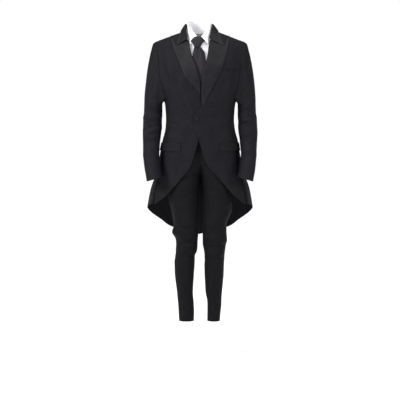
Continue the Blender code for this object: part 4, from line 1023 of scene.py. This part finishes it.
def flap(side):
    def place(across, down):
        angle = mix(angle_at(FLAP_FRONT_X, FLAP_TOP_Z), FLAP_BACK_ANGLE, across)
        height = mix(FLAP_TOP_Z, FLAP_FOOT_Z, down) + 0.004 * across - ARMPIT_Z
        point = body_point(angle, height)
        point += way_out(body_point, angle, height, 1) * (LYING_GAP + COAT_CLOTH + 0.0010 * down)
        return sided(point, side)

    return place


def breast_welt(across, up):
    x = mix(*WELT_X, across)
    return on_front(x, mix(*WELT_FOOT_Z, across) + WELT_HEIGHT * up, SEAM_GAP + COAT_CLOTH)


def laid_relief(point, column, row):
    """A flap or welt follows the folds of the panel below it."""
    return coat_relief(point) + 0.0004


for side, mirror in SIDES:
    made = cloth_piece(side + "_hip_flap", flap(side), spaced(0, 1, 24), spaced(0, 1, 8),
                       COAT_CLOTH, -mirror, BLACK_WORSTED, laid_relief)
    dress(made, ["flap_" + side])
made = cloth_piece("breast_pocket_welt", breast_welt, spaced(0, 1, 16), spaced(0, 1, 8),
                   COAT_CLOTH, 1, BLACK_WORSTED, laid_relief)
dress(made, ["breast_welt"])

# THE TROUSERS: two fronts and two backs, joined down the inside and outside of each leg and along
# the middle, on a waistband, with a fly. Plain black worsted, slim, and bunched above the knees.
TROUSER_CLOTH = 0.0020
CROTCH_Z = -0.664
TROUSER_WAIST_Z = -0.385
TROUSER_HEM_Z = -1.337
LEG_POWER = 2.15
CROTCH_X = 0.003
WAISTBAND_DEPTH = 0.038
LEG_SEAM_SHARE = 0.0012
LEG_TOP_Z = -0.4235
FLY_FOOT_Z = -0.605
FLY_TURNS = (0.012, 0.24)
TROUSER_WAVES = ((11.0, 0.0014), (33.0, 0.0006))
LEGS = table(
    "z left_outer left_inner right_inner right_outer front back middle_y",
    (-1.337, 0.0940, 0.0345, 0.0285, 0.0985, 0.042, 0.045, 0.022),
    (-1.300, 0.0975, 0.0340, 0.0280, 0.1010, 0.042, 0.047, 0.020),
    (-1.255, 0.1013, 0.0345, 0.0292, 0.1032, 0.043, 0.050, 0.018),
    (-1.205, 0.1038, 0.0268, 0.0335, 0.1080, 0.045, 0.056, 0.015),
    (-1.160, 0.1075, 0.0236, 0.0306, 0.1134, 0.048, 0.061, 0.012),
    (-1.110, 0.1122, 0.0208, 0.0272, 0.1184, 0.050, 0.062, 0.010),
    (-1.067, 0.1133, 0.0206, 0.0248, 0.1194, 0.053, 0.060, 0.007),
    (-1.030, 0.1150, 0.0216, 0.0230, 0.1165, 0.057, 0.060, 0.004),
    (-1.005, 0.1182, 0.0185, 0.0130, 0.1130, 0.061, 0.062, 0.002),
    (-0.975, 0.1220, 0.0120, 0.0100, 0.1125, 0.060, 0.060, 0.000),
    (-0.945, 0.1268, 0.0110, 0.0085, 0.1150, 0.065, 0.063, 0.000),
    (-0.918, 0.1255, 0.0105, 0.0075, 0.1315, 0.068, 0.066, 0.001),
    (-0.888, 0.1235, 0.0110, 0.0075, 0.1230, 0.065, 0.066, 0.002),
    (-0.850, 0.1370, 0.0120, 0.0070, 0.1275, 0.069, 0.070, 0.004),
    (-0.806, 0.1515, 0.0130, 0.0065, 0.1370, 0.073, 0.076, 0.006),
    (-0.765, 0.1490, 0.0125, 0.0060, 0.1480, 0.078, 0.080, 0.008),
    (-0.735, 0.1480, 0.0110, 0.0050, 0.1535, 0.081, 0.084, 0.009),
    (-0.705, 0.1480, 0.0085, 0.0030, 0.1545, 0.085, 0.088, 0.010),
    (-0.680, 0.1490, 0.0050, -0.0005, 0.1550, 0.088, 0.092, 0.011),
    (-0.664, 0.1500, 0.0030, -0.0030, 0.1555, 0.090, 0.095, 0.012),
    (-0.654, 0.1505, 0.0004, -0.0056, 0.1555, 0.090, 0.097, 0.012),
    (-0.640, 0.1510, -0.0076, -0.0144, 0.1555, 0.091, 0.099, 0.012),
    (-0.620, 0.1520, -0.0224, -0.0302, 0.1560, 0.092, 0.101, 0.012),
    (-0.600, 0.1530, -0.0463, -0.0560, 0.1560, 0.092, 0.103, 0.011),
    (-0.570, 0.1545, -0.0867, -0.0971, 0.1560, 0.092, 0.103, 0.010),
    (-0.540, 0.1550, -0.1500, -0.1530, 0.1560, 0.091, 0.101, 0.009),
    (-0.510, 0.1545, -0.1545, -0.1545, 0.1545, 0.090, 0.098, 0.007),
    (-0.430, 0.1440, -0.1440, -0.1440, 0.1440, 0.087, 0.083, 0.003),
    (-0.385, 0.1400, -0.1400, -0.1400, 0.1400, 0.086, 0.081, 0.002),
)
LEG_CREASES = {
    "left": table(CREASE_COLUMNS,
        (-0.893, 70, 95, 0.020, 0.010, 0.0055),
        (-0.928, 120, 90, 0.018, -0.012, -0.0060),
        (-0.955, 50, 100, 0.017, 0.014, 0.0050),
        (-0.985, 110, 95, 0.018, -0.010, -0.0055),
        (-1.014, 75, 90, 0.017, 0.012, 0.0050),
        (-1.045, 130, 80, 0.020, -0.012, -0.0045),
        (-0.920, -95, 90, 0.022, 0.012, 0.0050),
        (-0.970, -80, 95, 0.024, -0.014, -0.0065),
        (-1.018, -100, 90, 0.022, 0.010, 0.0050)),
    "right": table(CREASE_COLUMNS,
        (-0.900, 85, 90, 0.020, -0.012, -0.0050),
        (-0.932, 45, 90, 0.018, 0.012, 0.0055),
        (-0.960, 110, 95, 0.018, -0.010, -0.0060),
        (-0.992, 75, 95, 0.018, 0.014, 0.0055),
        (-1.022, 125, 80, 0.018, -0.012, -0.0055),
        (-1.052, 60, 90, 0.020, 0.008, 0.0040),
        (-0.930, -85, 90, 0.022, -0.012, 0.0050),
        (-0.980, -95, 95, 0.024, 0.012, -0.0065),
        (-1.030, -80, 90, 0.022, -0.010, 0.0050)),
}
# The finer creases: drag lines that fan out below the crotch, the short slanting ones among the
# bunching at the knees, and faint ones on the calves. A front centre lies at 90 degrees.
LEG_WRINKLES = {
    "left": table(CREASE_COLUMNS,
        (-0.652, 125, 55, 0.009, 0.020, 0.0051),
        (-0.676, 110, 60, 0.010, 0.024, 0.0051),
        (-0.700, 75, 55, 0.010, 0.014, 0.0044),
        (-0.728, 100, 60, 0.012, 0.022, -0.0047),
        (-0.790, 60, 50, 0.013, -0.016, 0.0044),
        (-0.838, 50, 50, 0.012, 0.016, 0.0040),
        (-0.880, 100, 55, 0.008, 0.012, 0.0047),
        (-0.905, 80, 55, 0.008, -0.012, -0.0047),
        (-0.938, 100, 60, 0.008, -0.014, 0.0051),
        (-0.968, 75, 60, 0.008, -0.014, 0.0047),
        (-0.998, 95, 55, 0.008, -0.012, -0.0047),
        (-1.030, 80, 55, 0.008, -0.014, 0.0051),
        (-1.062, 60, 45, 0.009, -0.010, 0.0032),
        (-1.230, 90, 50, 0.014, 0.010, 0.0021),
        (-1.290, 110, 50, 0.012, -0.010, 0.0025),
        (-0.700, -110, 70, 0.014, 0.020, 0.0054),
        (-0.945, -100, 70, 0.010, -0.012, 0.0047),
        (-0.995, -85, 70, 0.010, 0.012, 0.0047)),
    "right": table(CREASE_COLUMNS,
        (-0.630, 125, 55, 0.009, 0.014, 0.0051),
        (-0.648, 120, 60, 0.008, 0.016, -0.0051),
        (-0.668, 115, 65, 0.010, 0.020, 0.0057),
        (-0.690, 105, 60, 0.010, 0.018, 0.0051),
        (-0.716, 95, 60, 0.012, 0.022, 0.0047),
        (-0.745, 110, 50, 0.012, 0.018, -0.0044),
        (-0.800, 70, 50, 0.013, 0.016, 0.0040),
        (-0.845, 60, 50, 0.012, -0.016, 0.0040),
        (-0.884, 95, 55, 0.008, 0.014, 0.0047),
        (-0.916, 75, 55, 0.008, 0.014, 0.0051),
        (-0.946, 90, 60, 0.008, 0.012, 0.0047),
        (-0.976, 100, 60, 0.008, 0.012, 0.0044),
        (-1.008, 80, 55, 0.008, 0.010, 0.0051),
        (-1.036, 95, 60, 0.008, 0.006, -0.0044),
        (-1.072, 90, 50, 0.009, 0.004, 0.0025),
        (-1.180, 80, 50, 0.014, 0.010, 0.0021),
        (-1.285, 95, 50, 0.012, 0.010, 0.0025),
        (-0.705, -105, 70, 0.014, -0.020, 0.0054),
        (-0.955, -90, 70, 0.010, 0.012, 0.0047),
        (-1.005, -100, 70, 0.010, -0.012, 0.0047)),
}


def leg_turn(side, turn, z):
    """How far round a leg a place lies, from its outer side, and the middle seam's place."""
    outer = read(LEGS, side + "_outer", z)
    inner = read(LEGS, side + "_inner", z)
    middle = CROTCH_X * (1 if side == "left" else -1) * (1 - ease(CROTCH_Z, -0.5, z))
    centre = (outer + inner) / 2
    half = (outer - inner) / 2
    reach = max(-1.0, (middle - centre) / half) if z > CROTCH_Z else -1.0
    start = math.acos(power(reach, LEG_POWER / 2))
    angle = (1 - abs(turn)) * (start + 0.8 * (math.pi - start) * abs(turn))
    return angle, centre, half, middle


def leg_point(side, turn, z):
    """turn is 0 at the inner side or middle seam, 1 at the outer side, and negative behind."""
    angle, centre, half, middle = leg_turn(side, turn, z)
    fold = crease(LEG_CREASES, side, z, math.degrees(angle) * (1 if turn > 0 else -1))
    x = centre + (half + fold * 0.6) * power(math.cos(angle), 2 / LEG_POWER)
    x = max(x, middle) + SEAM_GAP / 2
    depth = read(LEGS, "front" if turn > 0 else "back", z) + fold
    out = math.copysign(depth, turn) * power(math.sin(angle), 2 / LEG_POWER)
    y = read(LEGS, "middle_y", z) - out
    return sided(Vector((x, y, z)), side)


def leg_relief(side, sign):
    def relief(point, column, z):
        angle = leg_turn(side, column, z)[0]
        out = uneven(point, TROUSER_WAVES)
        out += crease(LEG_WRINKLES, side, z, math.degrees(angle) * sign)
        inner = ease(CROTCH_Z - 0.01, CROTCH_Z + 0.03, z)
        out *= 1 - inner * bump(0, 0.12, column)
        return out - 0.0008 * bump(1, 0.05, column)

    return relief


TROUSER_WORSTED = cloth_look("trouser_worsted", (0.0034, 0.0032, 0.0041), (0.0066, 0.0062, 0.0074),
                             pitch=0.0007, slant=1.0, unevenness=0.8, roughness=0.62, relief=0.35,
                             Sheen_Weight=0.003, Specular_IOR_Level=0.07)
LEG_ROWS = spaced(TROUSER_HEM_Z, -1.100, 26) + spaced(-1.094, -0.860, 40)
LEG_ROWS += spaced(-0.852, LEG_TOP_Z, 50)
for side, mirror in SIDES:
    for panel, sign in (("front", 1), ("back", -1)):
        def half_leg(column, z, side=side, sign=sign):
            return leg_point(side, sign * max(column, 1e-6), z)

        columns = spaced(LEG_SEAM_SHARE, 1 - LEG_SEAM_SHARE, 22)
        made = cloth_piece(f"{side}_trouser_{panel}", half_leg, columns, LEG_ROWS, TROUSER_CLOTH,
                           mirror * sign, TROUSER_WORSTED, leg_relief(side, sign),
                           "low high" if panel == "back" else "")
        dress(made, [f"trouser_{panel}_{side}"])

    def round_waist(around, z, side=side):
        return leg_point(side, max(around, 1e-6) if around <= 1 else -max(2 - around, 1e-6), z)

    rows = spaced(TROUSER_WAIST_Z - WAISTBAND_DEPTH + SEAM_GAP, TROUSER_WAIST_Z, 6)
    made = cloth_piece(side + "_half_waistband", round_waist, spaced(0, 2, 48), rows, TROUSER_CLOTH,
                       mirror, TROUSER_WORSTED)
    dress(made, ["waistband_" + side])


def fly(across, z):
    turn = mix(*FLY_TURNS, across)
    point = leg_point("left", turn, z)
    along = leg_point("left", turn + 1e-3, z) - point
    away = along.cross(leg_point("left", turn, z + 1e-3) - point).normalized()
    return point + away * (LYING_GAP + TROUSER_CLOTH)


def fly_relief(point, across, z):
    return leg_relief("left", 1)(point, mix(*FLY_TURNS, across), z)


made = cloth_piece("fly_front", fly, spaced(0, 1, 10), spaced(FLY_FOOT_Z, LEG_TOP_Z, 26),
                   TROUSER_CLOTH, 1, TROUSER_WORSTED, fly_relief)
dress(made, ["trouser_fly"])

# THE SHIRT: two fronts that lap at the centre, a back, a stand round the neck, and a folded collar
# leaf with points. White cotton poplin, plain, tucked inside the waistband.
SHIRT_CLOTH = 0.0014
SHIRT_TAIL_Z = -0.440
SHIRT_DROP = 0.0085
SHIRT_LAP = 0.015
SHIRT_LAP_LIFT = 0.0026
SHIRT_LAP_X = (0.012, 0.035)
SHIRT_FRONT_NECK = (0.070, -0.030, 0.40)
SHIRT_BACK_NECK = (0.070, 0.000, 0.40)
SHIRT_SEAM_SHARE = 0.002
SHIRT_WAVES = ((16.0, 0.0008), (40.0, 0.0003))
STAND_INSET = 0.0018
SHIRT_LEAN = 0.0050
STAND_FOOT_FRONT_Z = -0.0230
STAND_FOOT_BACK_Z = 0.0110
SHIRT = table(
    "z half_width front back middle_y",
    (-0.440, 0.1322, 0.0792, 0.0742, 0.002),
    (-0.385, 0.1322, 0.0792, 0.0742, 0.002),
    (-0.340, 0.1480, 0.0930, 0.0890, 0.001),
    (-0.289, 0.1620, 0.1020, 0.1030, 0.000),
    (-0.240, 0.1840, 0.1040, 0.1080, 0.000),
    (-0.177, 0.2010, 0.1010, 0.1090, 0.001),
    (-0.118, 0.2120, 0.0910, 0.1030, 0.002),
    (-0.055, 0.2230, 0.0780, 0.0890, 0.003),
    (0.000, 0.2310, 0.0640, 0.0740, 0.004),
    (0.060, 0.2330, 0.0510, 0.0600, 0.004),
)
SHIRT_COLLAR = table(
    "at fold_x fold_y fold_z edge_x edge_y edge_z",
    (0.00, 0.0000, 0.0600, 0.0640, 0.0000, 0.0645, 0.0290),
    (0.25, 0.0380, 0.0430, 0.0630, 0.0410, 0.0460, 0.0300),
    (0.50, 0.0530, 0.0060, 0.0560, 0.0560, 0.0060, 0.0280),
    (0.70, 0.0450, -0.0290, 0.0320, 0.0530, -0.0350, 0.0000),
    (0.85, 0.0285, -0.0490, 0.0050, 0.0430, -0.0585, -0.0290),
    (1.00, 0.0105, -0.0595, -0.0150, 0.0400, -0.0740, -0.0490),
)


def shirt_armhole(share):
    angle, height = armhole_place(share)
    return mix(math.pi / 2, angle - 0.06, ease(0, 0.4, share)) if share < 1 else angle, height


def shirt_yoke(column, share, neck):
    return yoke_place(column, share, math.pi / 2, shirt_armhole, neck, SHIRT, SHIRT_DROP)


def shirt_front(side):
    def place(column, row):
        lap = angle_at(SHIRT_LAP if side == "left" else 0.0, ARMPIT_Z, SHIRT)
        if row <= 1:
            angle = mix(math.pi / 2, -lap, column)
            height = mix(SHIRT_TAIL_Z, ARMPIT_Z, row) - ARMPIT_Z
        else:
            share = shoulder_share(row)
            angle, height = shirt_yoke(column, share, SHIRT_FRONT_NECK)
            angle -= lap * max(0.0, column - 0.5) * 2 * (1 - share**6)
        point = body_point(angle, height, SHIRT, SHIRT_DROP)
        if side == "left":
            point.y -= SHIRT_LAP_LIFT * (1 - ease(*SHIRT_LAP_X, point.x))
        if row >= 2 and height >= 1:
            point.y -= SEAM_GAP / 2
        return sided(point, side)

    return place


def shirt_back(across, row):
    column = 1 - abs(across)
    if row <= 1:
        angle = mix(math.pi / 2, 0.0, column)
        height = mix(SHIRT_TAIL_Z, ARMPIT_Z, row) - ARMPIT_Z
    else:
        angle, height = shirt_yoke(column, shoulder_share(row), SHIRT_BACK_NECK)
    point = body_point(math.pi - angle, height, SHIRT, SHIRT_DROP)
    if row >= 2 and height >= 1:
        point.y += SEAM_GAP / 2
    return Vector((math.copysign(point.x, across), point.y, point.z))


def shirt_relief(point, column, row):
    return min(0.0008, uneven(point, SHIRT_WAVES))


def shirt_collar(at, across):
    fold = collar_station(SHIRT_COLLAR, "fold", at)
    point = fold.lerp(collar_station(SHIRT_COLLAR, "edge", at), across)
    point.x -= SHIRT_LEAN * ease(0.25, 0.8, abs(at))
    away = Vector((point.x, point.y - 0.01, 0)).normalized()
    return point + away * 0.003 * math.sin(math.pi * across)


def shirt_stand(at, up):
    fold = collar_station(SHIRT_COLLAR, "fold", at)
    away = Vector((fold.x, fold.y - 0.005, 0)).normalized()
    top = fold - away * STAND_INSET - Vector((0, 0, 0.002))
    top.x -= SHIRT_LEAN * ease(0.25, 0.8, abs(at)) * (1.0 if at > 0 else 0.0)
    foot = top + away * 0.001
    foot.z = mix(STAND_FOOT_BACK_Z, STAND_FOOT_FRONT_Z, ease(0.2, 1.0, abs(at)))
    foot.z -= 0.006 * ease(0.25, 0, abs(at))
    return foot.lerp(top, up)


WHITE_POPLIN = cloth_look("white_poplin", (0.80, 0.80, 0.82), (0.88, 0.88, 0.90),
                          pitch=0.0004, slant=0.0, unevenness=0.7, roughness=0.70, relief=0.15,
                          Sheen_Weight=0.05)
SHIRT_ROWS = spaced(0, 1, 18) + spaced(1.04, 2, 30)
for side, mirror in SIDES:
    made = cloth_piece(side + "_shirt_front", shirt_front(side), spaced(SHIRT_SEAM_SHARE, 1, 34),
                       SHIRT_ROWS, SHIRT_CLOTH, -mirror, WHITE_POPLIN, shirt_relief)
    dress(made, ["shirt_front_" + side])
columns = spaced(SHIRT_SEAM_SHARE - 1, 1 - SHIRT_SEAM_SHARE, 60)
made = cloth_piece("whole_shirt_back", shirt_back, columns, SHIRT_ROWS, SHIRT_CLOTH, -1,
                   WHITE_POPLIN, shirt_relief)
dress(made, ["shirt_back"])
made = cloth_piece("shirt_collar_leaf", shirt_collar, spaced(-1, 1, 80), spaced(0, 1, 12),
                   SHIRT_CLOTH, 1, WHITE_POPLIN)
dress(made, ["shirt_collar"])
made = cloth_piece("shirt_neck_stand", shirt_stand, spaced(-1.07, 1.07, 84), spaced(0, 1, 8),
                   SHIRT_CLOTH, -1, WHITE_POPLIN)
dress(made, ["shirt_collar_stand"])

# THE NECKTIE: black twill silk on a soft wool core, cut on the bias. The knot wraps it into a wedge,
# and the blade falls out of the knot's mouth with a dimple in its middle, to a point.
TIE_CLOTH = 0.0020
KNOT_TOP_Z = -0.0200
KNOT_FOOT_Z = -0.0655
KNOT_TOP_Y = -0.0665
KNOT_FOOT_Y = -0.0843
KNOT_CUT = (0.062, 0.048, 0.0022)
TIE = table(
    "z half_width centre",
    (-0.420, 0.0020, -0.0020),
    (-0.385, 0.0350, -0.0020),
    (-0.330, 0.0385, -0.0020),
    (-0.220, 0.0350, -0.0030),
    (-0.120, 0.0310, -0.0050),
    (-0.0925, 0.0275, -0.0050),
    (-0.0762, 0.0208, -0.0084),
    (-0.0644, 0.0142, -0.0118),
    (-0.0540, 0.0125, -0.0118),
)
KNOT = table(
    "down half_width centre",
    (0.00, 0.0190, -0.0094),
    (0.12, 0.0245, -0.0098),
    (0.40, 0.0335, -0.0108),
    (0.55, 0.0262, -0.0112),
    (0.80, 0.0180, -0.0118),
    (1.00, 0.0150, -0.0122),
)


def tie_blade(across, down):
    z = mix(TIE[-1].z, TIE[0].z, down)
    lift = SHIRT_LAP_LIFT + SEAM_GAP + TIE_CLOTH + 0.005 * ease(-0.13, -0.05, z)
    lift += 0.0070 * ease(-0.345, -0.380, z)
    x = read(TIE, "centre", z) + read(TIE, "half_width", z) * across
    point = on_front(x, z, lift, SHIRT, SHIRT_DROP)
    point.y -= 0.0012 * (1 - across * across)
    return point


def tie_relief(point, across, down):
    """The dimple under the knot, with a soft pleat on each side of it that fades downwards."""
    near = 1 - ease(0.0, 0.30, down)
    pleats = 0.0036 * (bump(0.45, 0.4, across) + bump(-0.45, 0.4, across))
    pleats -= 0.0012 * bump(0, 0.35, across)
    return 0.0010 + pleats * near + noise.noise(point * 22.0) * 0.0004


BLACK_SILK = cloth_look("black_silk", (0.0088, 0.0076, 0.0104), (0.0154, 0.0138, 0.0178),
                        pitch=0.0009, slant=1.0, unevenness=0.9, roughness=0.36, relief=0.5,
                        Specular_IOR_Level=0.15)
made = cloth_piece("tie_front_blade", tie_blade, spaced(-1, 1, 24), spaced(0, 1, 70), TIE_CLOTH, -1,
                   BLACK_SILK, tie_relief)
dress(made, ["tie_blade"])

mesh = bmesh.new()
knot_uv = mesh.loops.layers.uv.new("cloth")
bmesh.ops.create_cone(mesh, cap_ends=True, segments=48, radius1=1, radius2=1, depth=2,
                      calc_uvs=True)
uprights = [edge for edge in mesh.edges if abs(edge.verts[0].co.z - edge.verts[1].co.z) > 1]
bmesh.ops.subdivide_edges(mesh, edges=uprights, cuts=28)
caps = [face for face in mesh.faces if len(face.verts) > 4]
for inset in (0.12, 0.3):
    bmesh.ops.inset_individual(mesh, faces=caps, thickness=inset, depth=0)
for vertex in mesh.verts:
    down = (1 - vertex.co.z) / 2
    half = read(KNOT, "half_width", down)
    deep = mix(0.0075, 0.0060, down) * mix(0.6, 1, ease(0, 0.25, down))
    deep *= mix(1, 0.75, ease(0.8, 1, down))
    x, y = vertex.co.x, vertex.co.y
    wrap = 0.10 * bump(0.55, 0.16, down + 0.35 * x) - 0.12 * bump(0.80, 0.10, down - 0.30 * x)
    pucker = 0.16 * bump(0, 0.22, x) * ease(0.55, 1.0, down)
    depth = deep * (y * (1 + wrap) + pucker if y < 0 else 0.25 * y)
    height = mix(KNOT_TOP_Z, KNOT_FOOT_Z, down) + 0.0050 * (1 - x * x) * (1 - down) ** 3
    middle_x = read(KNOT, "centre", down)
    vertex.co = (middle_x + half * x, mix(KNOT_TOP_Y, KNOT_FOOT_Y, down) + depth, height)
for face in mesh.faces:
    for loop in face.loops:
        x, _, z = loop.vert.co
        loop[knot_uv].uv = (x * 0.8 + z * 0.6, z * 0.8 - x * 0.6)
bmesh.ops.recalc_face_normals(mesh, faces=mesh.faces[:])
knot = finished("tie_wrapped_knot", mesh, BLACK_SILK, softened=True)
knot["cut"] = KNOT_CUT
dress(knot, ["tie_knot"])

# THE COAT'S BUTTON: a disc of dark horn with a rounded rim and a dished middle, turned in one piece
# and fastened on the left front at the waist.
BUTTON_CENTRE = (-0.0163, -0.394)
BUTTON_RADIUS = 0.0090
BUTTON_HEIGHT = 0.0030
BUTTON_SEAT = 2 * SEAM_GAP + 0.0024
# Each step of the face: how far it goes in and up, by the button's radius and height.
BUTTON_STEPS = ((0.10, 0.08), (0.12, 0.0), (0.08, -0.20), (0.25, -0.06))
HORN, tree = new_look("dark_horn", {"Roughness": 0.42, "Specular IOR Level": 0.15})
place_in_piece = put(tree, "ShaderNodeTexCoord").outputs["Object"]
streaks = put(tree, "ShaderNodeTexNoise", {"Vector": place_in_piece, "Scale": 420.0, "Detail": 4.0})
tone = put(tree, "ShaderNodeValToRGB", {"Fac": streaks.outputs[0]})
tone.color_ramp.elements[0].color = (0.003, 0.0027, 0.003, 1)
tone.color_ramp.elements[1].color = (0.011, 0.0095, 0.010, 1)
give(tree, tree.nodes["Principled BSDF"], {"Base Color": tone.outputs[0]})

x, z = BUTTON_CENTRE
seat = body_y(abs(x), z) - overlap(x, z) - BUTTON_SEAT
mesh = bmesh.new()
bmesh.ops.create_cone(mesh, cap_ends=True, segments=40, radius1=1, radius2=1, depth=1)
face_on = [face for face in mesh.faces if face.normal.z > 0.9]
for inset, sink in BUTTON_STEPS:
    bmesh.ops.inset_region(mesh, faces=face_on, thickness=inset, depth=sink)
rim = [edge for edge in mesh.edges if edge.calc_face_angle(0) > 1.2]
bmesh.ops.bevel(mesh, geom=rim, offset=0.08, segments=3, affect="EDGES", profile=0.5, material=-1)
for vertex in mesh.verts:
    flat = vertex.co * BUTTON_RADIUS
    vertex.co = Vector((x + flat.x, seat - BUTTON_HEIGHT * (vertex.co.z + 0.5), z + flat.y))
bmesh.ops.recalc_face_normals(mesh, faces=mesh.faces[:])
button = finished("horn_button", mesh, HORN)
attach(button, "root")
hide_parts("coat_button")

# THE STUDIO: a white floor and an even white surround, with two soft lights in front of the suit and
# a wide soft one above it.
FLOOR_Z = -1.52
FLOOR_SIZE = 40
LAMPS = (
    ("key", "AREA", (-3.0, -2.4, 1.4), 160, ("size", 1.3)),
    ("fill", "AREA", (3.4, -2.2, 0.2), 44, ("size", 1.2)),
    ("sky", "SUN", (0.4, -1.6, 5.0), 3.3, ("angle", math.radians(80))),
)
LIT_POINT = Vector((0, 0, -0.6))
PALE, tree = new_look("pale_floor", {"Base Color": (0.98, 0.98, 0.98, 1), "Roughness": 0.9})
mesh = bmesh.new()
bmesh.ops.create_grid(mesh, x_segments=1, y_segments=1, size=FLOOR_SIZE)
bmesh.ops.translate(mesh, verts=mesh.verts[:], vec=(0, 0, FLOOR_Z))
finished("studio_floor", mesh, PALE)

world = bpy.data.worlds.new("white_surround")
bpy.context.scene.world = world
world.use_nodes = True
tree = world.node_tree
seen_directly = put(tree, "ShaderNodeLightPath").outputs["Is Camera Ray"]
strength = put(tree, "ShaderNodeMapRange", {"Value": seen_directly, "To Min": 0.12, "To Max": 1.0})
give(tree, tree.nodes["Background"], {"Color": (1, 1, 1, 1), "Strength": strength.outputs[0]})
for name, kind, place, energy, spread in LAMPS:
    lamp = bpy.data.lights.new(name, kind)
    lamp.energy = energy
    setattr(lamp, *spread)
    light = bpy.data.objects.new(name, lamp)
    light.location = place
    light.rotation_euler = (LIT_POINT - light.location).to_track_quat("-Z", "Y").to_euler()
    bpy.context.scene.collection.objects.link(light)

VIEW_CENTRE = Vector((0, 0, -0.769))
EYE_PLACE = (0, -5.5, -0.52)
EYE_LENS_MM = 106.2
eye = bpy.data.cameras.new("front_view")
eye.sensor_width = 36
eye.lens = EYE_LENS_MM
camera = bpy.data.objects.new("front_view", eye)
camera.location = EYE_PLACE
camera.rotation_euler = (VIEW_CENTRE - camera.location).to_track_quat("-Z", "Y").to_euler()
bpy.context.scene.collection.objects.link(camera)
bpy.context.scene.camera = camera
bpy.context.scene.view_settings.view_transform = "Standard"
